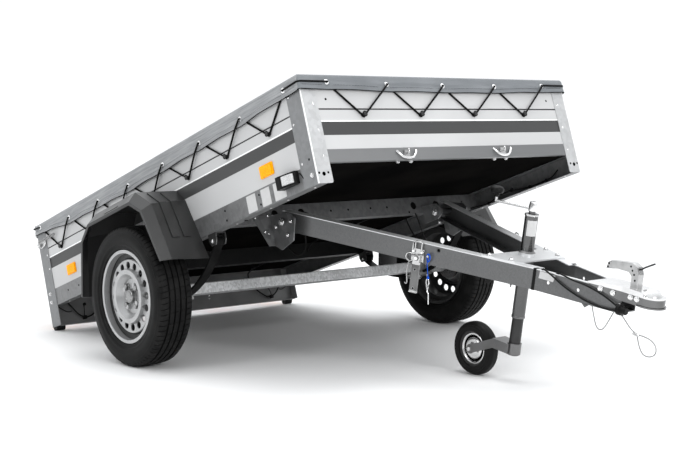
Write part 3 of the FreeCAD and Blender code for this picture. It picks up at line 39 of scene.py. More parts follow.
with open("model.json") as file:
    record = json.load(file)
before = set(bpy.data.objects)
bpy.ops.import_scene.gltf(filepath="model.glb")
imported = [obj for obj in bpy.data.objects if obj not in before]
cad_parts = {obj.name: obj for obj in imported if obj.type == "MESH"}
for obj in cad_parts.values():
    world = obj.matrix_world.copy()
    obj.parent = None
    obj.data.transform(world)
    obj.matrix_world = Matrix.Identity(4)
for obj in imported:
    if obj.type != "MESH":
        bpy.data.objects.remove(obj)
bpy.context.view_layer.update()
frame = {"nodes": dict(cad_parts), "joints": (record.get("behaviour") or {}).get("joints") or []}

import json
import math
from math import cos, pi, radians, sin

import bmesh
import bpy
from bpy.props import FloatProperty, IntProperty, PointerProperty
from mathutils import Matrix, Vector, noise

NODES = frame["nodes"]
MM = 0.001

# The level box's frame and the drawbar's frame, in millimetres, stood up as the trailer stands
TIP = radians(17.6)
FOLD = radians(27.4)
PLACES = {joint["name"]: Vector(joint["pos_m"]) for joint in frame["joints"] if "pos_m" in joint}
AXLE = PLACES["wheel_left_spin"]
HINGE = PLACES["drawbar_hinge"]
AXLE_X, AXLE_Z = -1040, -153
BOX = (Matrix.Translation((AXLE.x, 0, AXLE.z)) @ Matrix.Rotation(-TIP, 4, "Y")
       @ Matrix.Scale(MM, 4) @ Matrix.Translation((-AXLE_X, 0, -AXLE_Z)))
BAR = (Matrix.Translation((HINGE.x, 0, HINGE.z)) @ Matrix.Rotation(FOLD - TIP, 4, "Y")
       @ Matrix.Scale(MM, 4))
WHEEL = Matrix.Translation((AXLE.x, 0, AXLE.z)) @ Matrix.Scale(MM, 4)
JOCKEY = Matrix.Translation(PLACES["jockey_wheel_spin"]) @ Matrix.Scale(MM, 4)

# Sizes of the box and the road wheels, in millimetres
WALL = 677.5
MIDDLE = -1050
PITCH = 277.5
TYRE_MIDDLE = 825
TREAD_RADIUS = 273.5

ORIGIN, UP, DOWN = (0, 0, 0), (0, 0, 1), (0, 0, -1)
AHEAD, LEFT, RIGHT = (1, 0, 0), (0, 1, 0), (0, -1, 0)

# Faces of a block from its four near corners and its four far ones
CRATE = [[0, 1, 2, 3], [7, 6, 5, 4], [0, 4, 5, 1], [1, 5, 6, 2], [2, 6, 7, 3], [3, 7, 4, 0]]


# Finishes

class Value:
    """A socket that takes part in plain arithmetic."""

    def __init__(self, nodes, socket):
        self.nodes = nodes
        self.socket = socket

    def _math(self, operation, first, second):
        return self.nodes.node("ShaderNodeMath", {"operation": operation}, {0: first, 1: second})

    def __add__(self, other):
        return self._math("ADD", self, other)

    def __sub__(self, other):
        return self._math("SUBTRACT", self, other)

    def __rsub__(self, other):
        return self._math("SUBTRACT", other, self)

    def __mul__(self, other):
        return self._math("MULTIPLY", self, other)

    def __gt__(self, other):
        return self._math("GREATER_THAN", self, other)

    def __lt__(self, other):
        return self._math("LESS_THAN", self, other)

    __radd__, __rmul__ = __add__, __mul__


class Nodes:
    """Adds nodes to one tree and feeds their sockets."""

    def __init__(self, tree):
        self.tree = tree

    def node(self, kind, settings=None, values=None, output=0):
        made = self.tree.nodes.new(kind)
        for name, setting in (settings or {}).items():
            setattr(made, name, setting)
        for key, value in (values or {}).items():
            self.feed(made.inputs[key], value)
        return Value(self, made.outputs[output]) if made.outputs else None

    def feed(self, socket, value):
        if isinstance(value, Value):
            self.tree.links.new(value.socket, socket)
        elif isinstance(value, tuple) and socket.type == "RGBA":
            socket.default_value = (*value, 1)
        else:
            socket.default_value = value

    def part(self, vector, axis):
        """One component of a vector."""
        return self.node("ShaderNodeSeparateXYZ", None, {0: vector}, axis)

    def span(self, value, low, high, to_low=0, to_high=1):
        """Stretch a value from one range to another, held at the ends."""
        return self.node("ShaderNodeMapRange", None, {"Value": value, "From Min": low, "From Max": high,
                                                      "To Min": to_low, "To Max": to_high})


INPUTS = {"colour": "Base Color", "metal": "Metallic", "rough": "Roughness", "normal": "Normal",
          "coat": "Coat Weight", "coat_rough": "Coat Roughness", "specular": "Specular IOR Level",
          "glow": "Emission Color", "glow_strength": "Emission Strength"}


class Finish(Nodes):
    """One material and its node tree."""

    def __init__(self, name):
        self.material = bpy.data.materials.new(name)
        self.material.use_nodes = True
        super().__init__(self.material.node_tree)

    def place(self, turn=0, stretch=(1, 1, 1)):
        """Coordinates on the object, turned about its side axis, then stretched."""
        raw = self.node("ShaderNodeTexCoord", output="Object")
        level = self.node("ShaderNodeMapping", None, {"Vector": raw, "Rotation": (0, turn, 0)})
        return self.node("ShaderNodeVectorMath", {"operation": "MULTIPLY"}, {0: level, 1: stretch})

    def noise(self, scale, where=None, detail=4):
        return self.node("ShaderNodeTexNoise", None,
                         {"Vector": where or self.place(), "Scale": scale, "Detail": detail})

    def cells(self, scale, where=None, output="Distance"):
        return self.node("ShaderNodeTexVoronoi", None, {"Vector": where or self.place(), "Scale": scale},
                         output)

    def crystals(self, scale, where=None):
        """A tone of its own for each crystal or flake."""
        return self.node("ShaderNodeSeparateColor", None, {0: self.cells(scale, where, "Color")})

    def bands(self, scale, where, axis):
        """Fine even threads or grooves across an axis."""
        return self.node("ShaderNodeTexWave", {"wave_type": "BANDS", "bands_direction": axis},
                         {"Vector": where, "Scale": scale}, 1)

    def mix(self, share, first, second):
        """Blend two colours by a share."""
        return self.node("ShaderNodeMix", {"data_type": "RGBA"}, {0: share, 6: first, 7: second}, 2)

    def greys(self, share, low, high, blue=0):
        """Blend two greys by a share."""
        return self.mix(share, grey(low, blue), grey(high, blue))

    def bump(self, height, distance, strength):
        return self.node("ShaderNodeBump", None,
                         {"Height": height, "Strength": strength, "Distance": distance})

    def set(self, **inputs):
        shader = self.tree.nodes["Principled BSDF"]
        for name, value in inputs.items():
            self.feed(shader.inputs[INPUTS[name]], value)
        return self.material


def grey(level, blue=0):
    """A grey that leans to blue by a share."""
    return (level * (1 - blue), level, level * (1 + blue))


def within(value, base, low, high):
    """1 where a distance in metres is between two in millimetres from a base, and 0 elsewhere."""
    return (value > base + low * MM) * (value < base + high * MM)


def height_of(matrix, turn):
    """Where a frame's own origin is once the coordinates are turned level with it."""
    return (Matrix.Rotation(turn, 4, "Y") @ matrix).translation


BOX_AT = height_of(BOX, TIP)
BAR_AT = height_of(BAR, TIP - FOLD)

# Where one finish, painted highlight or painted shade ends and the next starts on a piece, in millimetres of
# its own frame
FLANGE_TOP = 34.5
COUPLING_SHADED_SIDES = (7, 38.5)
POST_FOLD, POST_SIDE, POST_FRONT = 676, 679, -3.5
LAMP_BOARD_OUTER = -2062.6
# Bands on the boards as lower and upper height, grey and blueness: the pale line above the stripe is a
# painted highlight, the dark stripe is the boards' own, and the dark line in the groove is painted shade
BOARD_STRIPE_AND_PAINTED_LIGHT = ((219.6, 225, 0.92, 0), (171, 219.6, 0.048, 0.01), (263.2, 268.4, 0.03, 0))
DISH, CROWN = 87, 105
DISH_FACE, CROWN_FACE = 865.1, 880.1
COVER_TOP_HALF, COVER_TOP_FRONT, COVER_FRONT_FACE = 664, -12, 1
SPRING_CLAMP = 47
POINTER_START, POINTER_FOOT = 1326, 114


def galvanised(name, level, scale=90, contrast=0.10, metal=0.6, rough=0.46, cloudy=0.6):
    """Hot-dip zinc: small crystals that differ a little in tone and gloss."""
    made = Finish(name)
    where = made.place(TIP, (1, 1, 0.7))
    crystals, cloud, fine = made.crystals(scale, where), made.noise(3.5, where), made.noise(260, where, 2)
    share = made.span(crystals * (1 - cloudy) + cloud * cloudy, 0.28, 0.72)
    return made.set(colour=made.greys(share, level * (1 - contrast), level * (1 + contrast), 0.01),
                    metal=metal, specular=0.3, rough=made.span(crystals, 0, 1, rough - 0.05, rough + 0.06),
                    normal=made.bump(fine * 0.5 + crystals * 0.5, 0.0004, 0.25))


def arm_zinc():
    """Zinc on the drawbar's channels: painted shade on the sides and a painted highlight on the upper
    flanges.
    """
    made = Finish("galvanised arms")
    where = made.place(TIP - FOLD, (1, 1, 0.7))
    level = made.part(made.place(TIP - FOLD), "Z")
    crystals, cloud = made.crystals(300, where), made.noise(3.5, where)
    share = made.span(crystals * 0.4 + cloud * 0.6, 0.28, 0.72)
    # Above the flange top a pale painted highlight, below it darker greys of painted shade
    colour = made.mix(level > BAR_AT.z + FLANGE_TOP * MM, made.greys(share, 0.125, 0.155, 0.01),
                      grey(0.72, 0.01))
    return made.set(colour=colour, metal=0.65, specular=0.3, rough=made.span(crystals, 0, 1, 0.33, 0.44),
                    normal=made.bump(crystals, 0.0002, 0.25))


def coupling_zinc():
    """Plated pressing: a painted highlight on its top and its lower flange, painted shade on its sides."""
    made = Finish("coupling zinc")
    level = made.part(made.place(TIP - FOLD), "Z")
    cloud = made.noise(9)
    share = made.span(cloud, 0.35, 0.65)
    # The sides between these heights get dark greys of painted shade; the rest gets a pale painted highlight
    bright = 1 - within(level, BAR_AT.z, *COUPLING_SHADED_SIDES)
    return made.set(colour=made.mix(bright, made.greys(share, 0.11, 0.17), made.greys(share, 0.60, 0.74)),
                    metal=0.9, rough=made.span(cloud, 0.35, 0.65, 0.16, 0.24),
                    normal=made.bump(cloud, 0.0002, 0.2))


def corner_post():
    """Folded zinc sheet at the box's corners: a painted highlight along the fold, and painted shade that
    makes the side flange darker than the front flange.
    """
    made = Finish("galvanised corner posts")
    where = made.place(TIP)
    ahead, aside = made.part(where, "X"), made.part(where, "Y")
    crystals, cloud = made.crystals(70, where), made.noise(5, where)
    share = made.span(crystals * 0.3 + cloud * 0.7, 0.3, 0.7)
    # The side flange's darker greys are painted shade, and the pale strip along the fold is a painted
    # highlight
    flange = aside * aside > (POST_SIDE * MM) ** 2
    painted_fold_highlight = (ahead > BOX_AT.x + POST_FRONT * MM) * (aside * aside > (POST_FOLD * MM) ** 2)
    faces = made.mix(flange, made.greys(share, 0.46, 0.56, 0.01), made.greys(share, 0.21, 0.26, 0.02))
    return made.set(colour=made.mix(painted_fold_highlight, faces, grey(0.92)), metal=0.45, specular=0.3,
                    rough=made.span(crystals, 0, 1, 0.42, 0.52), normal=made.bump(crystals, 0.0003, 0.2))


def lamp_board_zinc():
    """Zinc sheet, darkened with painted shade on its inner face and bright on its outer face."""
    made = Finish("lamp board zinc")
    where = made.place(TIP)
    # The inner face's darker greys are painted shade
    outer = made.part(where, "X") < BOX_AT.x + LAMP_BOARD_OUTER * MM
    cloud = made.noise(6, where)
    share = made.span(cloud, 0.3, 0.7)
    return made.set(colour=made.mix(outer, made.greys(share, 0.17, 0.26), made.greys(share, 0.42, 0.54)),
                    metal=0.5, specular=0.2, rough=made.span(cloud, 0.3, 0.7, 0.42, 0.55),
                    normal=made.bump(cloud, 0.0006, 0.2))


def board_metal(sill_top=None):
    """Pale profile boards with a dark band, a painted highlight line above it and painted shade in the
    groove, and the darker sill profile at their foot.
    """
    made = Finish("board metal")
    where = made.place(TIP)
    up = made.part(where, "Z")
    lines = made.noise(1, made.place(TIP, (2, 2, 420)), 2)
    cloud = made.span(made.noise(1.4, where), 0.35, 0.65)
    colour, metal = made.greys(cloud, 0.49, 0.56, 0.004), 0
    for low, high, level, blue in BOARD_STRIPE_AND_PAINTED_LIGHT:
        colour = made.mix(within(up, BOX_AT.z, low, high), colour, grey(level, blue))
    if sill_top:
        sill = up < BOX_AT.z + sill_top * MM
        colour = made.mix(sill, colour, made.mix(cloud, grey(0.19, 0.02), grey(0.24, 0.01)))
        metal = sill * 0.5
    return made.set(colour=colour, metal=metal, rough=made.span(lines, 0.3, 0.7, 0.36, 0.46), specular=0.35,
                    normal=made.bump(lines, 0.0002, 0.3))


def bright_zinc(name, level, rough):
    """Plated or machined steel with faint clouds and fine scratches."""
    made = Finish(name)
    cloud, scratch = made.noise(9), made.noise(1, made.place(0.4, (900, 900, 60)), 2)
    return made.set(colour=made.greys(made.span(cloud, 0.35, 0.65), level * 0.82, level * 1.12), metal=0.92,
                    rough=made.span(cloud + scratch * 0.3, 0.4, 1, rough - 0.04, rough + 0.06),
                    normal=made.bump(scratch, 0.0001, 0.3))


def plastic(name, level, rough, specular, grain=900, depth=0.00012):
    """Moulded plastic or rubber with a fine grain and faint handling marks."""
    made = Finish(name)
    marks = made.noise(9, None, 5)
    return made.set(colour=made.greys(made.span(marks, 0.35, 0.7), level * 0.88, level * 1.15),
                    rough=made.span(marks, 0.3, 0.7, rough - 0.05, rough + 0.07), specular=specular,
                    normal=made.bump(made.noise(grain, None, 2), depth, 0.5))


def tyre_rubber():
    """Black rubber, greyer and dusty where the tread has run."""
    made = Finish("tyre rubber")
    raw = made.place()
    dust, fine = made.noise(22, raw, 5), made.noise(420, raw, 2)
    ripple = made.noise(1, made.place(0, (6, 300, 6)), 2)
    return made.set(colour=made.mix(made.span(dust, 0.45, 0.75), grey(0.006), grey(0.014, -0.02)),
                    specular=0.10, rough=made.span(dust, 0.3, 0.7, 0.46, 0.60),
                    normal=made.bump(fine * 0.6 + ripple * 0.4, 0.0003, 0.35))


def wheel_silver():
    """Silver paint with fine metal flakes and a thin clear coat, with painted shade on the wheel's inner
    side.
    """
    made = Finish("silver wheel paint")
    flakes, cloud = made.crystals(2600), made.noise(12, None, 3)
    here, hub = made.place(), PLACES["wheel_right_spin"]
    ahead, up = made.part(here, "X") - hub[0], made.part(here, "Z") - hub[2]
    aside = made.part(here, "Y")
    square, inward = ahead * ahead + up * up, aside * aside
    dish = square > (DISH * MM) ** 2
    crown = dish * (square < (CROWN * MM) ** 2)
    behind_crown = (inward < (CROWN_FACE * MM) ** 2) * (inward > (DISH_FACE * MM) ** 2)
    # The inner side's near-black, duller paint is painted shade
    inner = dish * (inward < (DISH_FACE * MM) ** 2) + crown * behind_crown
    level = made.span(flakes * 0.3 + cloud * 0.7, 0.3, 0.7)
    return made.set(colour=made.mix(inner, made.greys(level, 0.36, 0.43, 0.005), grey(0.02)),
                    metal=0.45 - inner * 0.40, coat=0.15, rough=made.span(flakes, 0, 1, 0.27, 0.34)
                    + inner * 0.3)


def cover_cloth():
    """Grey coated cloth: a fine woven grid under the coating, with long soft creases; the colour streaks
    along the creases are painted shade and highlight, and the front face's darker, bluer grey is painted
    shade.
    """
    made = Finish("grey coated cloth")
    where = made.place(TIP)
    weave, weft = made.bands(220, where, "X"), made.bands(220, where, "Y")
    cloud = made.noise(6, where)
    ahead, aside = made.part(where, "X"), made.part(where, "Y")
    # The front face gets its own darker, bluer greys: painted shade
    front = ahead > BOX_AT.x + COVER_FRONT_FACE * MM
    crease = made.noise(1, made.place(TIP, (7, 7, 170))) * (1 - front * 0.75)
    top = (aside * aside < (COVER_TOP_HALF * MM) ** 2) * (ahead < BOX_AT.x + COVER_TOP_FRONT * MM)
    # The colour follows the creases as painted shade and highlight; the top keeps an even mid grey
    share = made.span(crease * 0.72 + cloud * 0.28, 0.32, 0.68) * (1 - top * 0.8) + top * 0.42
    sides = made.mix(share, grey(0.21, 0.035), grey(0.36, 0.02))
    nose = made.mix(made.span(cloud, 0.3, 0.7), grey(0.155, 0.07), grey(0.20, 0.06))
    return made.set(colour=made.mix(front, sides, nose), rough=made.span(cloud, 0.3, 0.7, 0.38, 0.5),
                    specular=0.35, normal=made.bump(weave * 0.08 + weft * 0.08 + crease, 0.0014, 0.7))


def woven(name, colour, other, scale=900):
    """A braided cord's cover."""
    made = Finish(name)
    braid = made.cells(scale)
    return made.set(colour=made.mix(made.span(braid, 0, 0.7), other, colour), rough=0.72, specular=0.12,
                    normal=made.bump(braid, 0.0004, 0.5))


def lens(name, deep, pale, pattern, glow=0):
    """Clear-coated plastic over a moulded pattern of small prisms, with a faint painted glow of its own
    colour if asked.
    """
    made = Finish(name)
    where = made.place(TIP)
    prisms = made.cells(pattern, where)
    share = made.span(prisms * 0.7 + made.bands(pattern * 0.4, where, "X") * 0.3, 0.1, 0.7)
    colour = made.mix(share, pale, deep)
    if glow:
        made.set(glow=colour, glow_strength=glow)
    return made.set(colour=colour, rough=0.28, coat=0.15, coat_rough=0.08, specular=0.10,
                    normal=made.bump(prisms, 0.0008, 0.35))


def floor_board():
    """Dark film-faced plywood, with its fine mesh print; its near black is partly the film's own colour and
    partly painted shade under the box.
    """
    made = Finish("film-faced board")
    where = made.place(TIP)
    cloud = made.noise(4, where)
    # Near-black greys: the film's dark colour with painted shade on top
    return made.set(colour=made.mix(made.span(cloud, 0.35, 0.7), grey(0.0035), (0.0075, 0.007, 0.0065)),
                    specular=0, rough=made.span(cloud, 0.3, 0.7, 0.60, 0.75),
                    normal=made.bump(made.cells(380, where), 0.0004, 0.4))


def spring_paint():
    """Black paint on the leaf, plated steel on the bolts and plate at its middle."""
    made = Finish("spring paint and plated bolts")
    where = made.place(TIP)
    plated = within(made.part(where, "X"), BOX_AT.x, AXLE_X - SPRING_CLAMP, AXLE_X + SPRING_CLAMP)
    cloud = made.noise(18, where)
    share = made.span(cloud, 0.4, 0.7)
    return made.set(colour=made.mix(plated, made.greys(share, 0.005, 0.011), made.greys(share, 0.28, 0.40)),
                    metal=plated * 0.85, specular=0.05, rough=made.span(cloud, 0.3, 0.7, 0.38, 0.5),
                    normal=made.bump(cloud, 0.0006, 0.3))


def handle_metal():
    """Zinc-plated lever with its black pointer."""
    made = Finish("coupling handle")
    where = made.place(TIP - FOLD)
    pointer = (made.part(where, "X") > BAR_AT.x + POINTER_START * MM) * (made.part(where, "Z") > BAR_AT.z
                                                                         + POINTER_FOOT * MM)
    cloud = made.noise(26, where)
    zinc = made.greys(made.span(cloud, 0.35, 0.65), 0.40, 0.56)
    return made.set(colour=made.mix(pointer, zinc, grey(0.008)), metal=0.9 - pointer * 0.85,
                    rough=made.span(cloud, 0.3, 0.7, 0.26, 0.40), normal=made.bump(cloud, 0.0003, 0.3))


def blank_label():
    """Pale printed film with nothing on it."""
    made = Finish("blank label")
    paper = made.noise(60)
    return made.set(colour=made.greys(made.span(paper, 0.35, 0.65), 0.5432, 0.5712),
                    rough=made.span(paper, 0.3, 0.7, 0.36, 0.44), coat=0.3)


# Each finish's maker and what it is given
MAKERS = {
    "galvanised": (galvanised, "galvanised sheet", 0.21, 90, 0.14),
    "post": (corner_post,),
    "lamp_board": (lamp_board_zinc,),
    # The cross pieces' darker copies of the galvanised sheet are painted shade under the box
    "painted_shade_cross_front": (galvanised, "galvanised front cross piece", 0.13, 90, 0.16, 0.6, 0.5),
    "painted_shade_cross_rear": (galvanised, "galvanised rear cross piece", 0.02, 90, 0.2, 0.3, 0.6),
    "bracket_galvanised": (galvanised, "galvanised hinge plates", 0.17, 40, 0.5, 0.7, 0.36, 0.8),
    "tube_galvanised": (galvanised, "galvanised tube", 0.60, 150, 0.22, 0.6, 0.42),
    "arm_galvanised": (arm_zinc,),
    "board": (board_metal,),
    "front_board": (board_metal, 120.4),
    "rear_board": (board_metal, 126.4),
    "zinc": (bright_zinc, "bright zinc", 0.52, 0.22),
    "chrome": (bright_zinc, "polished zinc", 0.80, 0.16),
    "dull_zinc": (bright_zinc, "dull zinc", 0.17, 0.30),
    # The jack's, the jack leg's and the jockey fork's darker copies of bright zinc are painted shade
    "jack_zinc": (bright_zinc, "jack zinc", 0.11, 0.16),
    "coupling_zinc": (coupling_zinc,),
    "leg_zinc": (bright_zinc, "jack leg zinc", 0.045, 0.30),
    "fork_zinc": (bright_zinc, "fork zinc", 0.17, 0.30),
    "latch_zinc": (bright_zinc, "latch zinc", 0.26, 0.25),
    "eyelet": (bright_zinc, "pale eyelets", 0.95, 0.34),
    "guard": (plastic, "mudguard plastic", 0.024, 0.36, 0.40, 620, 0.0002),
    "black": (plastic, "black plastic", 0.004, 0.40, 0.14),
    "rubber": (plastic, "black rubber", 0.006, 0.50, 0.16),
    # Near black that stands in for holes and gaps as painted shade, also used for the hem's painted shadow
    # line and the stitches
    "hole": (plastic, "hole shade", 0.001, 0.9, 0),
    "knob_ring": (plastic, "knob ring", 0.05, 0.35, 0.3),
    "tyre": (tyre_rubber,),
    "wheel": (wheel_silver,),
    "cloth": (cover_cloth,),
    "elastic": (woven, "black elastic", grey(0.003), grey(0.010)),
    "blue": (woven, "blue cord", (0.004, 0.06, 0.46), (0.01, 0.12, 0.66), 1400),
    "steel_rope": (woven, "steel rope", grey(0.20), grey(0.46), 1500),
    # The amber and red lenses' faint glow is painted light; the side reflectors and rear triangles that share
    # it are no lamps
    "amber": (lens, "amber lens", (0.98, 0.35, 0), (1, 0.50, 0.004), 120, 0.10),
    "red": (lens, "red lens", (0.36, 0.004, 0.004), (0.62, 0.02, 0.015), 140, 0.05),
    "clear": (lens, "clear lens", grey(0.50), grey(0.80, 0.01), 260),
    "floor": (floor_board,),
    "spring": (spring_paint,),
    "handle": (handle_metal,),
    "label": (blank_label,),
}
FINISHES = {}

# The frame's nodes that have each finish; the rest are plain galvanised sheet
FINISH_NODES = {
    "floor": "floor_panel", "front_board": "front_board", "board": "side_board_right side_board_left",
    "rear_board": "tail_board", "post": "front_posts rear_posts", "red": "rear_lamps rear_triangles",
    "rubber": "buffers marker_housings jockey_tyre electric_cable_upper electric_cable_lower",
    "tube_galvanised": "axle_beam", "spring": "leaf_spring_right leaf_spring_left",
    "dull_zinc": "spring_hangers gate_hinges", "painted_shade_cross_front": "front_crossmember",
    "painted_shade_cross_rear": "rear_crossmember", "lamp_board": "lamp_board", "clear": "marker_lenses",
    "bracket_galvanised": "hinge_bracket_right hinge_bracket_left", "amber": "side_reflectors",
    "guard": "mudguard_right mudguard_left", "black": "cover_knobs electric_plug",
    "cloth": "cover_sheet cover_flap", "tyre": "tyre_right tyre_left",
    "wheel": "rim_right rim_left jockey_rim", "latch_zinc": "hub_right hub_left",
    "arm_galvanised": "arm_right arm_left nose_plates jack_bracket",
    "coupling_zinc": "coupling_head", "handle": "coupling_handle", "jack_zinc": "jack_outer_tube",
    "zinc": "jack_crank toggle_latches gate_catches front_hooks", "leg_zinc": "jack_inner_tube",
    "fork_zinc": "jockey_fork", "steel_rope": "safety_cable tether_wire", "blue": "lanyard",
    "chrome": "safety_clip",
}
NODE_FINISH = {node: name for name, nodes in FINISH_NODES.items() for node in nodes.split()}


def finish(name):
    """The material of that name, made once."""
    if name not in FINISHES:
        maker, *given = MAKERS[name]
        FINISHES[name] = maker(*given)
    return FINISHES[name]


# Meshes

class Shape:
    """Faces gathered in millimetres of one frame; each keeps the finish that it was added with."""

    def __init__(self, matrix):
        self.matrix = matrix
        self.points = []
        self.faces = []
        self.tints = []
        self.names = []

    def add(self, points, faces, tint):
        if tint not in self.names:
            self.names.append(tint)
        base = len(self.points)
        self.points += [Vector(point) for point in points]
        self.faces += [[base + corner for corner in face] for face in faces]
        self.tints += [self.names.index(tint)] * len(faces)

    def prism(self, outline, axis, start, end, tint):
        """A closed outline in the two other axes, pushed along an axis."""
        def stand(pair, along):
            return {"X": (along, *pair), "Y": (pair[0], along, pair[1]), "Z": (*pair, along)}[axis]
        count = len(outline)
        faces = [[n, (n + 1) % count, (n + 1) % count + count, n + count] for n in range(count)]
        faces += [list(range(count)), list(range(count, 2 * count))]
        self.add([stand(pair, start) for pair in outline] + [stand(pair, end) for pair in outline],
                 faces, tint)

    def block(self, x, y, z, tint):
        self.prism([(y[0], z[0]), (y[1], z[0]), (y[1], z[1]), (y[0], z[1])], "X", x[0], x[1], tint)

    def lathe(self, profile, tint, sides=20, centre=ORIGIN, direction=UP):
        """A profile of distances along a direction and radii, turned about it."""
        turn = Vector(direction).to_track_quat("Z", "Y")
        points = []
        for along, radius in profile:
            for number in range(sides):
                angle = 2 * pi * number / sides
                spoke = Vector((radius * cos(angle), radius * sin(angle), along))
                points.append(Vector(centre) + turn @ spoke)
        faces = []
        for ring in range(len(profile) - 1):
            for number in range(sides):
                low, high = ring * sides + number, ring * sides + (number + 1) % sides
                faces.append([low, high, high + sides, low + sides])
        if profile[0] != profile[-1]:
            faces.append(list(range(sides)))
            faces.append(list(range((len(profile) - 1) * sides, len(profile) * sides)))
        self.add(points, faces, tint)

    def hexagon(self, centre, direction, across, height, tint="zinc"):
        """A nut or bolt head with chamfered corners on a thin washer."""
        reach = across / 2 / cos(pi / 6)
        self.lathe([(0, reach * 1.15), (height * 0.16, reach * 1.15)], "dull_zinc", 20, centre, direction)
        self.lathe([(height * 0.1, reach), (height * 0.85, reach), (height, reach * 0.86)], tint, 6, centre,
                   direction)

    def wire(self, points, radius, tint, sides=2, steps=5, straight=False):
        """A round wire, straight between its points or smoothly pulled by them."""
        thread = smooth_line("wire", [Vector(point) for point in points], radius, sides, steps, straight)
        mesh = as_mesh(thread)
        self.add([vertex.co for vertex in mesh.vertices], [list(face.vertices) for face in mesh.polygons],
                 tint)
        bpy.data.meshes.remove(mesh)
        curve = thread.data
        bpy.data.objects.remove(thread)
        bpy.data.curves.remove(curve)

    def mirrored(self):
        """Add the same faces on the other side of the trailer."""
        count = len(self.points)
        self.points += [Vector((point.x, -point.y, point.z)) for point in self.points]
        self.faces += [[corner + count for corner in reversed(face)] for face in self.faces]
        self.tints += self.tints
        return self


def placed(name, data):
    """A new object in the scene."""
    made = bpy.data.objects.new(name, data)
    bpy.context.scene.collection.objects.link(made)
    return made


def smooth_line(name, points, radius, sides, steps, straight=False):
    """An open curve with a round section, its control points in the same units as its radius."""
    data = bpy.data.curves.new(name, "CURVE")
    data.dimensions = "3D"
    spline = data.splines.new("POLY" if straight else "NURBS")
    spline.points.add(len(points) - 1)
    for place, point in zip(spline.points, points):
        place.co = (*point, 1)
    if not straight:
        spline.order_u = 3
        spline.use_endpoint_u = True
    data.bevel_depth = radius
    data.bevel_resolution = sides
    data.resolution_u = steps
    data.use_fill_caps = True
    return placed(name, data)


def as_mesh(made):
    """The mesh that an object evaluates to."""
    bpy.context.view_layer.update()
    graph = bpy.context.evaluated_depsgraph_get()
    return bpy.data.meshes.new_from_object(made.evaluated_get(graph))


def mesh_of(name, shape, bevel=0, smooth=35, keep=False):
    """A mesh in metres from a shape, with rounded edges."""
    mesh = bpy.data.meshes.new(name)
    matrix = Matrix.Scale(MM, 4) if keep else shape.matrix
    mesh.from_pydata([matrix @ point for point in shape.points], [], shape.faces)
    for tint in shape.names:
        mesh.materials.append(finish(tint))
    mesh.polygons.foreach_set("material_index", shape.tints)
    work = bmesh.new()
    work.from_mesh(mesh)
    bmesh.ops.recalc_face_normals(work, faces=work.faces)
    if bevel:
        sharp = [edge for edge in work.edges
                 if len(edge.link_faces) == 2 and edge.calc_face_angle(0) > radians(smooth)]
        bmesh.ops.bevel(work, geom=sharp, offset=bevel * MM, segments=2, affect="EDGES", profile=0.6,
                        clamp_overlap=True)
    work.to_mesh(mesh)
    work.free()
    mesh.polygons.foreach_set("use_smooth", [True] * len(mesh.polygons))
    mesh.set_sharp_from_angle(angle=radians(smooth))
    return mesh


def piece(name, shape, body, bevel=0, smooth=35, replaces=()):
    """Put a shape in the scene as one piece that rides on a body."""
    made = placed(name, mesh_of(name, shape, bevel, smooth))
    return ride(made, body, replaces)


def ride(made, body, replaces=()):
    """Say what a piece rides on and what it stands for."""
    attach(made, body)
    if replaces:
        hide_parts(*replaces)
    return made


def copies_group():
    """Nodes that stand a pattern on every point, turned by the angles kept on the point."""
    name = "Set out copies"
    if name in bpy.data.node_groups:
        return bpy.data.node_groups[name]
    group = bpy.data.node_groups.new(name, "GeometryNodeTree")
    for label, kind in (("Points", "Geometry"), ("Pattern", "Object"), ("Finish", "Material"),
                        ("Size", "Float")):
        group.interface.new_socket(label, in_out="INPUT", socket_type="NodeSocket" + kind)
    group.interface.new_socket("Copies", in_out="OUTPUT", socket_type="NodeSocketGeometry")
    nodes = Nodes(group)

    def given(label):
        return nodes.node("NodeGroupInput", output=label)
    pattern = nodes.node("GeometryNodeObjectInfo", None, {"Object": given("Pattern"), "As Instance": True},
                         "Geometry")
    angles = nodes.node("GeometryNodeInputNamedAttribute", {"data_type": "FLOAT_VECTOR"}, {"Name": "turn"})
    stood = nodes.node("GeometryNodeInstanceOnPoints", None, {
        "Points": given("Points"), "Instance": pattern, "Scale": given("Size"),
        "Rotation": nodes.node("FunctionNodeEulerToRotation", None, {0: angles})})
    plain = nodes.node("GeometryNodeRealizeInstances", None, {0: stood})
    painted = nodes.node("GeometryNodeSetMaterial", None, {0: plain, "Material": given("Finish")})
    nodes.node("NodeGroupOutput", None, {0: painted})
    return group


def copies(name, body, pattern, spots, tint, bevel=0, size=1):
    """One mesh of copies of a pattern, each at a place in metres and facing a direction."""
    sample = placed(name + "_pattern", mesh_of(name + "_pattern", pattern, bevel, keep=True))
    points = bpy.data.meshes.new(name + "_points")
    points.from_pydata([place for place, _ in spots], [], [])
    turn = points.attributes.new("turn", "FLOAT_VECTOR", "POINT")
    angles = [angle for _, way in spots for angle in Vector(way).to_track_quat("Z", "Y").to_euler()]
    turn.data.foreach_set("vector", angles)
    made = placed(name, points)
    modifier = made.modifiers.new("copies", "NODES")
    modifier.node_group = copies_group()
    given = {"Pattern": sample, "Finish": finish(tint), "Size": float(size)}
    for item in modifier.node_group.interface.items_tree:
        if item.name in given:
            modifier[item.identifier] = given[item.name]
    mesh = as_mesh(made)
    made.modifiers.remove(modifier)
    made.data = mesh
    mesh.set_sharp_from_angle(angle=radians(35))
    bpy.data.objects.remove(sample)
    bpy.data.meshes.remove(points)
    return ride(made, body)


def turned(tint, sides, *profile):
    """A pattern for copies, turned about its own axis."""
    made = Shape(BOX)
    made.lathe(profile, tint, sides)
    return made


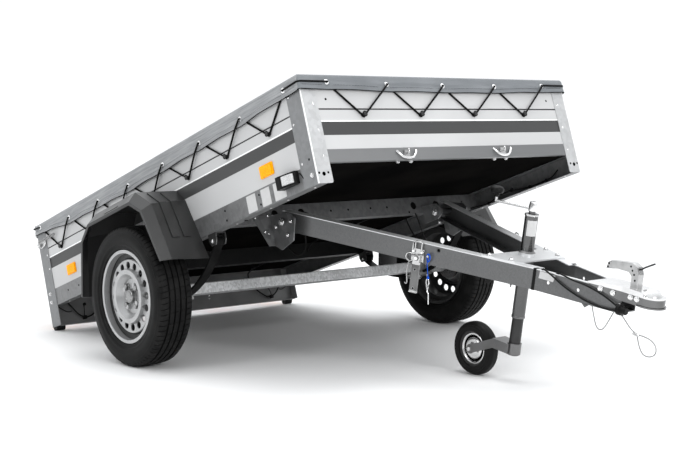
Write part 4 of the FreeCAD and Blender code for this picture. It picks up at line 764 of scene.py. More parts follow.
def spots_on(matrix, places, direction, both=True):
    """Places in millimetres of a frame and the way they face, on both sides if asked."""
    found = []
    for side in ((1, -1) if both else (1,)):
        way = matrix.to_3x3() @ Vector((direction[0], direction[1] * side, direction[2]))
        for x, y, z in places:
            found.append((matrix @ Vector((x, y * side, z)), way.normalized()))
    return found


def rounded_outline(low, high, radius, steps=4):
    """A rectangle's outline with round corners."""
    outline = []
    for corner, (x, y) in enumerate(((high[0], high[1]), (low[0], high[1]), (low[0], low[1]),
                                     (high[0], low[1]))):
        centre = (x - radius * (1 if x == high[0] else -1), y - radius * (1 if y == high[1] else -1))
        for step in range(steps + 1):
            angle = pi / 2 * (corner + step / steps)
            outline.append((centre[0] + radius * cos(angle), centre[1] + radius * sin(angle)))
    return outline


# Sizes that a user may change

class TrailerSettings(bpy.types.PropertyGroup):
    """Sizes of the pieces that dress the trailer."""
    tread_pitches: IntProperty(name="Tread pitches", description="Cross cuts round each tyre",
                               default=78, min=24, max=110)
    tread_depth: FloatProperty(name="Tread depth", description="Depth of the grooves round each tyre",
                               default=0.007, min=0.002, max=0.009, unit="LENGTH")
    cover_sag: FloatProperty(name="Cover sag", description="How far the cover sinks in its middle",
                             default=0.014, min=0.0, max=0.05, unit="LENGTH")
    lace: FloatProperty(name="Elastic cord", description="Diameter of the cord that holds the cover",
                        default=0.0075, min=0.003, max=0.009, unit="LENGTH")
    eyelet: FloatProperty(name="Eyelets", description="Size of the eyelets against the usual one",
                          default=1.0, min=0.7, max=1.4, subtype="FACTOR")
    stitch: FloatProperty(name="Stitch", description="Distance between the stitches of the hem",
                          default=0.007, min=0.004, max=0.02, unit="LENGTH")


# Tyres

LEAN, SHOULDER = 0.63, 66


def tyre_profile(depth):
    """Side, radius and cut of each line round the tyre, from the middle to the inner bead."""
    top, floor = TREAD_RADIUS, TREAD_RADIUS - depth
    lines = [(0, top, 0.28), (8.2, top, 0.28), (8.8, floor, 0), (14.8, floor, 0), (15.4, top, 0),
             (17, top, 0.36), (30.4, top - 0.4, 0.36), (32, top - 0.5, 0), (32.6, floor - 0.4, 0),
             (39.2, floor - 0.6, 0), (39.8, top - 0.8, 0), (41.5, top - 0.9, 0.72), (54, top - 1.8, 0.72),
             (62, top - 4, 0.72), (67.4, top - 8.6, 0.6), (69.4, 261, 0.4), (70.2, 259, 0), (72.6, 255, 0),
             (74.2, 250.5, 0), (73.8, 249.5, 0), (75.8, 242, 0), (77.3, 233, 0), (77.4, 226, 0),
             (76.6, 217, 0), (74.6, 207, 0), (74.8, 206, 0), (73, 200.5, 0), (71.4, 199.6, 0),
             (69.6, 194, 0), (70, 192.4, 0), (68.8, 188, 0), (65.4, 185.4, 0), (61.5, 183.2, 0),
             (52, 178.5, 0)]
    other = [(-side, radius, cut) for side, radius, cut in lines[1:]]
    return other[::-1] + lines


def tyre(side, settings):
    """A tyre with grooves round it and cross cuts at every pitch."""
    depth, pitches = settings.tread_depth / MM, settings.tread_pitches
    profile = tyre_profile(depth)
    steps = (0, 0.04, 0.12, 0.16, 0.48, 0.74)
    points = []
    for pitch in range(pitches):
        for number, step in enumerate(steps):
            for across, radius, cut in profile:
                lean = LEAN * min(abs(across) / SHOULDER, 1) * (1 if across > 0 else -0.6) if cut else 0
                angle = 2 * pi * (pitch + step + lean) / pitches
                deep = cut * depth if number in (1, 2) and (cut > 0.5 or pitch % 2) else 0
                points.append(((radius - deep) * sin(angle), side * (TYRE_MIDDLE + across),
                               (radius - deep) * cos(angle)))
    columns, rows = pitches * len(steps), len(profile)
    faces = []
    for start in range(0, columns * rows, rows):
        ahead = (start + rows) % (columns * rows)
        faces += [[start + row, ahead + row, ahead + row + 1, start + row + 1] for row in range(rows - 1)]
        faces.append([start + rows - 1, ahead + rows - 1, ahead, start])
    made = Shape(WHEEL)
    made.add(points, faces, "tyre")
    return made


def make_tyres(settings):
    for name, side in (("right", -1), ("left", 1)):
        piece("tread_tyre_" + name, tyre(side, settings), "wheel_" + name, 0, 28, ("tyre_" + name,))


# Wheels

def make_wheel_details():
    nut = Shape(WHEEL)
    nut.lathe([(0, 13.2), (2.5, 12.6), (4.5, 11)], "latch_zinc")
    nut.lathe([(4, 11.2), (14, 11.2), (16, 9.4), (16.4, 5)], "latch_zinc", 6)
    for name, side in (("right", -1), ("left", 1)):
        places = [(50 * cos(angle), 857 * side, 50 * sin(angle))
                  for angle in (pi / 4 + number * pi / 2 for number in range(4))]
        copies("wheel_nuts_" + name, "wheel_" + name, nut,
               spots_on(WHEEL, places, (0, side, 0), both=False), "latch_zinc", 0.8)
        made = Shape(WHEEL)
        made.lathe([(852.6, 27.2), (858, 30), (861, 29.4), (862, 27.4), (852.6, 27.2)], "latch_zinc", 40,
                   ORIGIN, (0, side, 0))
        made.lathe([(878.4, 21.5), (879.6, 21), (880.2, 19.6), (879.2, 18.4), (878.4, 21.5)], "latch_zinc",
                   40, ORIGIN, (0, side, 0))
        stem = Vector((118, 0, 118)) * 1.06
        foot = Vector((stem.x, side * 838, stem.z))
        tip = Vector((stem.x * 0.965, side * 881, stem.z * 0.965))
        made.lathe([(0, 8), (6, 7.4), (12, 4.6), (30, 3.9), (31, 4.8), (41, 4.8), (43, 3.8)], "black", 16,
                   foot, tip - foot)
        piece("hub_trim_" + name, made, "wheel_" + name, 0, 40)
    made = Shape(JOCKEY)
    for side in (-1, 1):
        made.hexagon((0, side * 33, 0), (0, side, 0), 18, 8, "chrome")
    piece("jockey_axle_nuts", made, "jockey_swivel", 0.7)
    made = Shape(JOCKEY)
    for side in (-1, 1):
        for radius, width in ((80, 2.4), (88, 1.6)):
            made.lathe([(24.2, radius - width), (25.6, radius - width * 0.5), (25.6, radius + width * 0.5),
                        (24.2, radius + width), (24.2, radius - width)], "rubber", 64, ORIGIN, (0, side, 0))
    piece("jockey_tyre_rings", made, "jockey_wheel", 0, 50)
    made = Shape(JOCKEY)
    for side in (-1, 1):
        made.lathe([(11.1, 61), (15.5, 58.5), (16.5, 55), (14, 51), (11.1, 49.5)], "chrome", 40, ORIGIN,
                   (0, side, 0))
        # A band of painted shade between the rim's chrome rings
        made.lathe([(11.1, 49.4), (11.5, 48), (11.5, 42), (11.1, 41)], "hole", 40, ORIGIN, (0, side, 0))
        made.lathe([(11.1, 40.6), (16, 37), (17, 31), (14.5, 24), (17.5, 18), (18, 15)], "chrome", 40,
                   ORIGIN, (0, side, 0))
    piece("jockey_rim_rings", made, "jockey_wheel", 0, 50)


# Cover

# Where the eyelets are along the edge and up, in millimetres of the box's frame as all sizes here
EYELETS_SIDE = ((-85, 360), (-365, 348), (-651, 345), (-930, 342), (-1215, 338), (-1481, 343),
                (-1761, 345), (-2049, 372))
EYELETS_FRONT = ((-558, 363), (-279, 357), (0, 355), (279, 356), (558, 363))
COVER_SIDE, COVER_FRONT, COVER_BACK, COVER_TOP = 684, 4, -2104, 391.3
ROUND = 7
SKIRT_TOP = COVER_TOP - ROUND
BEND = 0.16
CLOTH = 1.3
HEM_DROP, HEM_START, HEM_THICK, SEAM_RISE = 27, 0.72, 0.7, 15.5
KNOB_LINE = 245
HOOK_REACH = 8.6
OVER_CLOTH, OVER_HEM, UNDER_CLOTH, OFF_BOARD = 6.6, 7, 3.2, 4
FLAP_EYELETS = (-560, -280, 0, 280, 560)

# Eyelets, side, seed of the folds, and where the seam starts and how long it is; side is 0 on the front
SKIRTS = ((EYELETS_SIDE, -1, 1, COVER_BACK + 14, 2080), (EYELETS_SIDE, 1, 5, COVER_BACK + 14, 2080),
          (EYELETS_FRONT, 0, 2, -670, 1340))


def between(table, place):
    """Read a table of places and values, joined by straight lines."""
    rows = sorted(table)
    if place <= rows[0][0]:
        return rows[0][1]
    for (low, first), (high, second) in zip(rows, rows[1:]):
        if place <= high:
            return first + (second - first) * (place - low) / (high - low)
    return rows[-1][1]


def nearest(table, place):
    """Distance along the edge to the nearest eyelet."""
    return min(abs(place - row[0]) for row in table)


def hem_height(table, place):
    """Height of the cover's lower edge, a little higher between the eyelets than under them."""
    rise = 1.5 if table is EYELETS_FRONT else 3
    return between(table, place) - HEM_DROP + rise * min(nearest(table, place) / 120, 1) ** 2


def fold(place, down, seed):
    """Long soft folds that run along the skirt, and finer ones across them."""
    long_wave = noise.noise(Vector((place * 0.0045, down * 0.055, seed)))
    short_wave = noise.noise(Vector((place * 0.018, down * 0.030, seed + 7)))
    return 2.6 * long_wave + 1.6 * short_wave


def pull(table, place, height, seed):
    """Creases that run out of each eyelet, where the cord pulls."""
    total = 0
    for number, (along, up) in enumerate(table):
        dx, dz = place - along, height - up
        far = math.hypot(dx, dz)
        if far < 150:
            angle = math.atan2(dz, dx)
            total += 2.6 * math.exp(-far / 60) * cos(7 * angle + seed + number * 1.7)
            total -= 2.2 * math.exp(-(far / 26) ** 2)
    return total


def skirt_point(start, way, table, place, share, seed):
    """A point of the skirt: round the top edge, then down to the hem."""
    if share < BEND:
        angle = pi / 2 * share / BEND
        return (start[0] + way[0] * ROUND * sin(angle), start[1] + way[1] * ROUND * sin(angle), SKIRT_TOP
                + ROUND * cos(angle))
    down = (share - BEND) / (1 - BEND)
    height = SKIRT_TOP + (hem_height(table, place) - SKIRT_TOP) * down
    out = 2.4 + fold(place, COVER_TOP - height, seed) + pull(table, place, height, seed)
    out = out * min(down * 2.2, 1) + 1.5 * down * min(nearest(table, place) / 80, 1)
    out = max(out, 0) + (HEM_THICK if share > HEM_START else 0)
    return (start[0] + way[0] * (ROUND + out), start[1] + way[1] * (ROUND + out), height)


def cover_top(x, y, sag):
    """Height of the cover between the boards."""
    inside_x = min(max((x - COVER_BACK - 30) / 500, 0), max((-20 - x) / 500, 0), 1)
    inside_y = min(max((655 - abs(y)) / 330, 0), 1)
    inside = (3 * inside_x ** 2 - 2 * inside_x ** 3) * (3 * inside_y ** 2 - 2 * inside_y ** 3)
    rim = min(max((668 - abs(y)) / 40, 0), 1) * min(max((-30 - x) / 40, 0), 1)
    crease = sum(1.6 * math.exp(-abs(x - line) / 9) for line in (-1575, -1050, -525))
    crease += sum(1.3 * math.exp(-abs(y - line) / 9) for line in (-340, 0, 340))
    soft = 3.2 * noise.noise(Vector((x * 0.0030, y * 0.0036, 3)))
    soft += 1.2 * noise.noise(Vector((x * 0.012, y * 0.004, 9)))
    return COVER_TOP - sag * inside + (crease + soft - 3) * rim * 0.8


def grid_faces(columns, rows):
    """Faces between columns of points, each of as many rows."""
    return [[n * rows + m, (n + 1) * rows + m, (n + 1) * rows + m + 1, n * rows + m + 1]
            for n in range(columns - 1) for m in range(rows - 1)]


def cover_sheet_shape(sag):
    """The cover with its skirt on three sides, and the points of its hem."""
    lengths, widths, drops = 150, 46, 15
    back, width = COVER_BACK + 4, COVER_SIDE - ROUND
    xs = [back + (COVER_FRONT - ROUND - back) * n / lengths for n in range(lengths + 1)]
    ys = [(-1 + 2 * n / widths) * width for n in range(widths + 1)]
    points = [(x, y, cover_top(x, y, sag)) for x in xs for y in ys]
    row = widths + 1
    faces = grid_faces(lengths + 1, row)
    turns = [(sin(angle), -cos(angle)) for angle in (pi / 2 * step / 5 for step in range(1, 5))]
    right, left = lengths * row, lengths * row + widths
    columns = [(n * row, (0, -1), EYELETS_SIDE, xs[n], 1) for n in range(lengths + 1)]
    columns += [(right, way, EYELETS_FRONT, -COVER_SIDE, 2) for way in turns]
    columns += [(right + m, (1, 0), EYELETS_FRONT, ys[m], 2) for m in range(widths + 1)]
    columns += [(left, (x, -y), EYELETS_FRONT, COVER_SIDE, 2) for x, y in reversed(turns)]
    columns += [(n * row + widths, (0, 1), EYELETS_SIDE, xs[n], 5) for n in reversed(range(lengths + 1))]
    base = len(points)
    for start, way, table, place, seed in columns:
        for drop in range(1, drops + 1):
            points.append(skirt_point(points[start], way, table, place, drop / drops, seed))
    for number, (here, there) in enumerate(zip(columns, columns[1:])):
        first = base + number * drops
        corners = [here[0], there[0]] if here[0] != there[0] else [here[0]]
        faces.append(corners + [first + drops, first])
    faces += [[base + corner for corner in face] for face in grid_faces(len(columns), drops)]
    made = Shape(BOX)
    made.add(points, faces, "cloth")
    return made, points[base + drops - 1::drops]


def flap_shape():
    """The part of the cover that hangs behind the tail board."""
    columns, drops, half = 60, 14, 683
    points = []
    for n in range(columns + 1):
        y = -half + 2 * half * n / columns
        points += [(COVER_BACK + 4.2, y, COVER_TOP), (COVER_BACK + 1.2, y, COVER_TOP - 1.2)]
        for drop in range(1, drops + 1):
            share = drop / drops
            wave = 2 * noise.noise(Vector((y * 0.006, 4, 4))) * share
            height = COVER_TOP - 3 - 53 * share + wave
            out = (1.5 + 1.6 * noise.noise(Vector((y * 0.008, height * 0.05, 11)))) * share
            points.append((COVER_BACK - max(out, 0), y, height))
    made = Shape(BOX)
    made.add(points, grid_faces(columns + 1, drops + 2), "cloth")
    return made


def cloth_piece(name, shape, body, replaces):
    """Give a sheet its thickness and put it in the scene."""
    made = placed(name, mesh_of(name, shape, 0, 180))
    work = bmesh.new()
    work.from_mesh(made.data)
    middle = BOX @ Vector((MIDDLE, 0, 200))
    total = sum(face.normal.dot(face.calc_center_median() - middle) * face.calc_area() for face in work.faces)
    if total < 0:
        bmesh.ops.reverse_faces(work, faces=work.faces)
    work.to_mesh(made.data)
    work.free()
    thick = made.modifiers.new("thickness", "SOLIDIFY")
    thick.thickness = CLOTH * MM
    thick.offset = -1
    thick.use_even_offset = False
    mesh = as_mesh(made)
    made.modifiers.remove(thick)
    made.data = mesh
    mesh.polygons.foreach_set("use_smooth", [True] * len(mesh.polygons))
    mesh.set_sharp_from_angle(angle=radians(60))
    return ride(made, body, replaces)


def squash_flap(made):
    """Give a piece of the rear flap a mesh of its own."""
    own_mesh(made)


def outside(table, place, height, seed):
    """How far the skirt stands out at a place and height."""
    share = BEND + (1 - BEND) * (SKIRT_TOP - height) / (SKIRT_TOP - hem_height(table, place))
    return skirt_point((0, 0), (1, 0), table, place, share, seed)[0] - ROUND


def skirt_spot(table, place, height, side, seed, proud=0):
    """Where something sits on the skirt, and the way it faces; side is 0 on the front."""
    out = outside(table, place, height, seed) + proud
    if side:
        return spots_on(BOX, [(place, side * (COVER_SIDE + out), height)], (0, side, 0), both=False)
    return spots_on(BOX, [(COVER_FRONT + out, place, height)], (1, 0, 0), both=False)


def seam_spots(gap):
    """Places of the hem's stitches."""
    spots = []
    for table, side, seed, start, length in SKIRTS:
        for number in range(int(length / gap)):
            place = start + number * gap
            spots += skirt_spot(table, place, hem_height(table, place) + SEAM_RISE, side, seed)
    return spots


def corner_welts():
    """The cover's sewn front corners."""
    made = Shape(BOX)
    x, out = COVER_FRONT - ROUND, 0.70 * (ROUND + 2.6)
    for side in (-1, 1):
        y = side * (COVER_SIDE - ROUND)
        corner = (x + out, y + side * out)
        made.wire([(x - 6, y - side * 6, COVER_TOP), (x + 1, y + side, COVER_TOP - 0.5),
                   (corner[0] - 1, corner[1] - side, SKIRT_TOP), (*corner, SKIRT_TOP - 12),
                   (*corner, hem_height(EYELETS_FRONT, side * COVER_SIDE) + 10),
                   (*corner, hem_height(EYELETS_FRONT, side * COVER_SIDE) + 0.5)], 1.6, "cloth")
    return made


def make_cover(settings):
    shape, hem = cover_sheet_shape(settings.cover_sag / MM)
    sheet = cloth_piece("cover_cloth", shape, "chassis", ("cover_sheet",))
    # A thin black line along the hem's lower edge is a painted shadow
    edge = Shape(BOX)
    edge.wire([(x, y, z - 0.8) for x, y, z in hem], 1.5, "hole", straight=True)
    painted_hem_shadow = piece("hem_binding", edge, "chassis", 0, 50)
    flap = cloth_piece("cover_back_flap", flap_shape(), "chassis", ("cover_flap",))
    squash_flap(flap)
    eyelets, holes = [], []
    for table, side, seed, _, _ in SKIRTS:
        for place, height in table:
            eyelets += skirt_spot(table, place, height, side, seed, -0.3)
            holes += skirt_spot(table, place, height, side, seed, -0.1)
    ring = turned("eyelet", 20, (0, 4.4), (0.2, 9.6), (1.2, 9.9), (2.6, 8.6), (2.9, 6.8), (1.8, 4.6),
                  (0, 4.4))
    rings = copies("cover_eyelets", "chassis", ring, eyelets, "eyelet", size=settings.eyelet)
    # Black discs of painted shade in the eyelets' holes
    disc = turned("hole", 16, (0, 4.8), (0.5, 4.8))
    painted_eyelet_shade = copies("eyelet_holes", "chassis", disc, holes, "hole", size=settings.eyelet)
    stitch = Shape(BOX)
    stitch.prism([(-2, -0.45), (2, -0.45), (2, 0.45), (-2, 0.45)], "Z", -0.3, 0.5, "hole")
    thread = copies("hem_stitches", "chassis", stitch, seam_spots(settings.stitch / MM), "hole")
    flap_spots = spots_on(BOX, [(COVER_BACK - 2.2, y, 361) for y in FLAP_EYELETS], (-1, 0, 0), both=False)
    back_rings = copies("flap_eyelets", "chassis", ring, flap_spots, "eyelet")
    squash_flap(back_rings)
    seams = piece("corner_seams", corner_welts(), "chassis", 0, 60)


# Elastic cord of the cover

def hook_round(knob, way, face):
    """Points under a knob's neck, from the near side to the far side of it."""
    turns = [radians(angle) for angle in (0, 35, 90, 145, 180)]
    return [(knob + way * HOOK_REACH * cos(turn), face, KNOB_LINE - HOOK_REACH * sin(turn)) for turn in turns]


def hem_crossing(eyelets, eye, tangent):
    """Where a straight strand from an eyelet to a knob passes the hem."""
    share = 0.6
    for _ in range(4):
        along = eye[0] + (tangent - eye[0]) * share
        share = (eye[1] - hem_height(eyelets, along)) / (eye[1] - KNOB_LINE)
    return eye[0] + (tangent - eye[0]) * share, eye[1] + (KNOB_LINE - eye[1]) * share


def lace_run(eyelets, knobs, over_ahead, skin, board, way):
    """The zigzag from eyelet to knob to eyelet, as (along, out, up) points.

    One strand of each pair lies over the skirt and the other comes from under the hem."""
    route = []
    for number, knob in enumerate(knobs):
        here, there = eyelets[number], eyelets[number + 1]
        along, up = hem_crossing(eyelets, here, knob - way * HOOK_REACH)
        if over_ahead and number > 0:
            route += [(here[0], skin + OVER_CLOTH, here[1]), (along, skin + OVER_HEM, up)]
        else:
            route += [(here[0], skin - UNDER_CLOTH, here[1]), (along, board + OFF_BOARD, up)]
        route += hook_round(knob, -way, board + 4.6)
        along, up = hem_crossing(eyelets, there, knob + way * HOOK_REACH)
        if over_ahead:
            route += [(along, board + OFF_BOARD, up), (there[0] - way * 3, skin - UNDER_CLOTH, there[1] - 2)]
        else:
            route += [(along, skin + OVER_HEM, up), (there[0], skin + OVER_CLOTH, there[1])]
    return route


def make_lacing(settings):
    radius = settings.lace / MM / 2
    side_knobs = [MIDDLE + PITCH * number for number in range(3, -4, -1)]
    front_knobs = [PITCH * number for number in (-1.5, -0.5, 0.5, 1.5)]
    made = Shape(BOX)
    first, last, end = EYELETS_SIDE[0], EYELETS_SIDE[-1], EYELETS_FRONT[-1]
    for side in (-1, 1):
        run = lace_run(EYELETS_SIDE, side_knobs, True, COVER_SIDE, WALL, -1)
        run += [(last[0], COVER_SIDE + OVER_CLOTH, last[1]), (COVER_BACK + 2, COVER_SIDE + 5, last[1] + 6),
                (COVER_BACK - 5.6, COVER_SIDE - 8, last[1] + 3)]
        made.wire([(x, side * y, z) for x, y, z in run], radius, "elastic", straight=True)
    run = lace_run(EYELETS_FRONT, front_knobs, False, COVER_FRONT, -2.5, 1)
    made.wire([(x, y, z) for y, x, z in run], radius, "elastic", straight=True)
    for side in (-1, 1):
        run = [(COVER_FRONT - 2, *end), (COVER_FRONT + 6.4, *end),
               (COVER_FRONT + 5.8, COVER_SIDE - 6, end[1] + 0.5),
               (COVER_FRONT - 4, COVER_SIDE + 5.6, end[1] + 0.5), (first[0], COVER_SIDE + 6.4, first[1]),
               (first[0], COVER_SIDE - 2, first[1])]
        made.wire([(x, side * y, z) for x, y, z in run], radius, "elastic", straight=True)
    piece("cover_elastic", made, "chassis", 0, 50)
    back = Shape(BOX)
    line = [(COVER_BACK - 5.6, -(COVER_SIDE - 8), 375)]
    for y in FLAP_EYELETS:
        line += [(COVER_BACK - 5.6, y - 12, 362), (COVER_BACK - 5, y + 4, 361)]
    line += [(COVER_BACK - 5.6, COVER_SIDE - 8, 375)]
    back.wire(line, radius, "elastic", straight=True)
    squash_flap(piece("flap_elastic", back, "chassis", 0, 50))
    rings = turned("knob_ring", 20, (0, 3.6), (0.7, 4.6), (0.9, 5.6), (0.6, 6.4), (0, 6.6))
    rings.lathe([(0.5, 2.2), (1.5, 1.8), (1.8, 0.6)], "zinc", 14)
    faces = spots_on(BOX, [(x, WALL + 13.8, KNOB_LINE) for x in side_knobs], (0, 1, 0))
    faces += spots_on(BOX, [(11.3, y, KNOB_LINE) for y in front_knobs], (1, 0, 0), both=False)
    copies("knob_faces", "chassis", rings, faces, "knob_ring")


# Lamps, reflectors and labels

LAMP_FACE = -2064


def lamp_lens(made, low, high, tint, depth, outer_round=False):
    """One lens between two distances from the middle, its outer corners rounded if asked."""
    z0, z1 = -57.5, 41
    if outer_round:
        outline = rounded_outline((low - 22, z0), (high, z1), 14, 5)
        outline = [(max(y, low), z) for y, z in outline]
    else:
        outline = [(low, z0), (high, z0), (high, z1), (low, z1)]
    made.prism(outline, "X", LAMP_FACE - 10, LAMP_FACE - depth, tint)


def make_lamps():
    made = Shape(BOX)
    made.prism(rounded_outline((428.5, -63.2), (663.5, 46.7), 18, 6), "X", LAMP_FACE, LAMP_FACE - 13, "black")
    lamp_lens(made, 588, 658.5, "amber", 26.6, True)
    lamp_lens(made, 492, 586, "red", 26.6)
    lamp_lens(made, 433.5, 490, "clear", 25.4)
    for y, tint in ((622, "amber"), (539, "red"), (462, "clear")):
        made.lathe([(26, 25), (27.6, 24), (27.6, 21), (26.2, 20), (26, 25)], tint, 36, (LAMP_FACE, y, -8),
                   (-1, 0, 0))
    for y, z in ((486, 34), (592, 34), (486, -50), (592, -50)):
        made.lathe([(24, 4.5), (27.2, 4.2), (27.4, 1)], "black", 14, (LAMP_FACE, y, z), (-1, 0, 0))
    piece("tail_lamps", made.mirrored(), "chassis", 1.4, 40, ("rear_lamps",))
    made = Shape(BOX)
    for x in (-271, -1822):
        frame_line = rounded_outline((x - 31.4, 106.6), (x + 31.4, 145.4), 4.5, 4)
        made.prism(frame_line, "Y", 677.4, 680.6, "amber")
        for number in range(7):
            left = x - 25.5 + number * 7.4
            made.prism([(left, 686), (left + 6, 686), (left + 3, 687.4)], "Z", 110.5, 141.5, "amber")
    piece("reflector_ribs", made.mirrored(), "chassis", 0.4, 40)
    made = Shape(BOX)
    for number in range(9):
        z = 39 + number * 3.2
        start, end = Vector((-124, 711.6, z)), Vector((-112, 699, z))
        made.wire([start, (start + end) / 2, end], 0.8, "clear", 1, 2)
    made.wire([(-100, 682, 60), (-92, 683.2, 62), (-86, 682.2, 58), (-80, 681, 46), (-76, 679, 38)], 1.8,
              "rubber")
    piece("marker_ribs", made.mirrored(), "chassis", 0, 40)


def make_reflector_bases():
    """Moulded bases of the side reflectors, wider than their prisms."""
    made = Shape(BOX)
    for x in (-274, -1828):
        made.prism(rounded_outline((x - 41, 103), (x + 41, 149), 5), "Y", 677.7, 682.5, "amber")
    piece("reflector_bases", made.mirrored(), "chassis", 0.8)


def make_labels():
    made = Shape(BOX)
    for low, high in ((-431, -373), (-338, -283), (-259, -189)):
        made.prism(rounded_outline((low, 6), (high, 69.5), 2.5), "Y", -677.4, -677.9, "label")
    piece("rail_labels", made, "chassis", 0)
    make_reflector_bases()
    made = Shape(BAR)

    def nose(u, w):
        return (u, -(105 - (u - 975) * 63 / 322) - 0.45, w)
    corners = [nose(988, 8), nose(1044, 7), nose(1050, 31), nose(990, 33.5)]
    made.add(corners + [(x, y + 0.35, z) for x, y, z in corners], CRATE, "label")
    points, faces = [], []
    steps = 14
    for step in range(steps + 1):
        angle = radians(-77 + 94 * step / steps)
        for radius, w in ((24.35, 116), (24.35, 172), (24.02, 172), (24.02, 116)):
            points.append((JACK[0] + radius * cos(angle), radius * sin(angle), w))
    for start in range(0, 4 * steps, 4):
        for edge in range(4):
            low, high = start + edge, start + (edge + 1) % 4
            faces.append([low, low + 4, high + 4, high])
    faces += [[0, 1, 2, 3], [56, 57, 58, 59]]
    made.add(points, faces, "label")
    piece("drawbar_labels", made, "drawbar", 0)


# Latches of the tail board

def make_gate_latches():
    made = Shape(BOX)
    made.prism(rounded_outline((-2094, 284), (-2022, 314), 5), "Y", 679.9, 682.6, "zinc")
    made.prism([(-2086, 682.5), (-2018, 682.5), (-2014, 686), (-2014, 691), (-2086, 691)], "Z", 297, 311,
               "chrome")
    for z in (301, 309):
        made.wire([(-2076, 692, z), (-1990, 693.5, z + 1), (-1918, 693, z + 2.5)], 3, "latch_zinc")
    made.wire([(-1918, 693, 303.5), (-1911, 692.8, 304), (-1909, 692.8, 307.5), (-1911, 692.8, 311),
               (-1918, 693, 311.5)], 3, "latch_zinc")
    for z in (302, 292):
        made.wire([(-2080, 689, z), (-2092, 689.5, z), (-2104, 687, z - 1), (-2108, 680, z - 2),
                   (-2108, 668, z - 3)], 2.4, "chrome")
    made.wire([(-2081, 685, 299), (-2078, 686, 286), (-2066, 686, 277), (-2044, 686, 280),
               (-2024, 686, 286), (-2020, 685, 294)], 2.2, "chrome")
    made.prism([(-2080, 683), (-2066, 683), (-2066, 693), (-2080, 693)], "Z", 286, 312, "zinc")
    for x, z in ((-2088, 290), (-2088, 308), (-2030, 290)):
        made.lathe([(0, 4.2), (1.2, 3.9), (2, 1.8)], "zinc", 14, (x, 682.4, z), (0, 1, 0))
    piece("gate_latches", made.mirrored(), "chassis", 0.7, 35, ("gate_catches",))


# Fasteners

def bolt_pattern(across=13, height=5.5):
    """A bolt's head and end for copies."""
    made = Shape(BOX)
    made.hexagon(ORIGIN, UP, across, height)
    made.lathe([(height * 0.9, across * 0.28), (height + 2, across * 0.26)], "zinc", 12)
    return made


def make_fasteners():
    """Copies of each fastener, and the front hooks' horns; a row gives the finish, bevel, size and places."""
    # Black discs of painted shade stand for the holes
    hole = turned("hole", 14, (0, 4.4), (0.3, 4.4))
    rivet = turned("chrome", 12, (0, 4.6), (0.9, 4.4), (1.9, 3), (2.3, 1))
    below_axle, spring_ends = AXLE_Z - 44.5, (AXLE_X - 340, AXLE_X + 340)
    for name, body, pattern, tint, bevel, size, matrix, groups in (
            ("sheet_rivets", "chassis", rivet, "chrome", 0, 1, BOX, (
                (LEFT, [(-71, 680, 230), (-68, 680, 87), (-2033, 680, 172), (-2033, 680, 236),
                        (-71, 680, 330)]),
                (AHEAD, [(0, 634, 284), (0, 633, 189), (0, 634, 96), (-602, 528.8, 29.8), (-602, 469.6, 34),
                         (-602, 493.7, -28.8), (-602, 477.8, -36), (-2062, 167, -25), (-2062, 167, -39)]),
                (DOWN, [(x, 650, 0.2) for x in (-60, -222, -330, -555, -1500, -1650, -1800, -1950)]))),
            ("box_bolts", "chassis", bolt_pattern(), "chrome", 0.5, 1, BOX, (
                (LEFT, [(-2066, 680, 60), (-2067, 680, 20.5), (-26, 680, 36),
                        (-475.9, 463.2, -21.1), (-571, 463.2, -17.4), (-510, 463.2, -66)]),
                (AHEAD, [(-602, 380, 20), (-602, 425, -40)]),
                (DOWN, [(-20, 218, 73.6), (-20, 282, 73.6)]))),
            ("spring_nuts", "chassis", bolt_pattern(15, 6.5), "chrome", 0.5, 1, BOX, (
                (DOWN, [(x, y, below_axle) for x in (-1068, -1012) for y in (625.5, 674.5)]),
                (LEFT, [(x, 672.6, -30) for x in spring_ends]),
                (RIGHT, [(x, 627.4, -30) for x in spring_ends]))),
            ("hinge_nuts", "chassis", bolt_pattern(22, 8), "chrome", 0.7, 1, BOX, (
                (LEFT, [(-526.5, 468, -11.3)]), (RIGHT, [(-526.5, 335, -11.3)]))),
            ("sheet_holes", "chassis", hole, "hole", 0, 1, BOX, (
                (LEFT, [(-578, WALL, 57), (-577, WALL, 20), (-350, WALL, 56), (-349, WALL, 20),
                        (-1792, WALL, 42), (-1897, WALL, 43), (-26, 680, 92)]),
                (AHEAD, [(0, 669, 37), (0, 629, 37), (-607, 526, 41.6), (-607, 586, 44), (-607, 349, 33),
                         (-607, 268, 13), (-607, 150, 40), (-607, 60, 40), (-2.5, 572, 302)]))),
            ("post_holes", "chassis", hole, "hole", 0, 1.7, BOX, ((AHEAD, [(0, 649, 33)]),)),
            ("coupling_bolts", "drawbar", bolt_pattern(15, 7), "chrome", 0.6, 1, BAR, (
                (LEFT, [(1222, 60.8, 30), (1268, 52, 27), (1336, 46, 30), (1362, 46, 30)]),
                (UP, [(790, 147, 42.5), (870, 120, 42.5)]))),
            ("handle_holes", "drawbar", hole, "hole", 0, 0.8, BAR, (
                (LEFT, [(1206, 14.1, 109), (1203.5, 14.1, 97), (1296, 14.1, 120), (1304, 14.1, 108),
                        (1313, 14.1, 96), (1319, 14.1, 78)]),))):
        spots = [spot for way, places in groups for spot in spots_on(matrix, places, way)]
        copies(name, body, pattern, spots, tint, bevel, size)
    horns = Shape(BOX)
    for side in (-1, 1):
        horns.wire([(x, side * 250 + y, 96 + z) for x, y, z in (
            (2, -48, 12), (6, -41, 1), (9, -27, -13), (10, -9, -18), (10, 9, -18),
            (9, 27, -13), (6, 41, 1), (2, 48, 12))], 4.6, "chrome")
    piece("hook_horns", horns, "chassis", 0, 50)


# Drawbar details

ARM_SLOPE, ARM_START = 0.3325, 428.8
ARM_TURN = math.atan(ARM_SLOPE)
JACK = (830, 0, 0)
TOGGLE = Matrix.Translation((541, -248.9, 0)) @ Matrix.Rotation(ARM_TURN, 4, "Z")


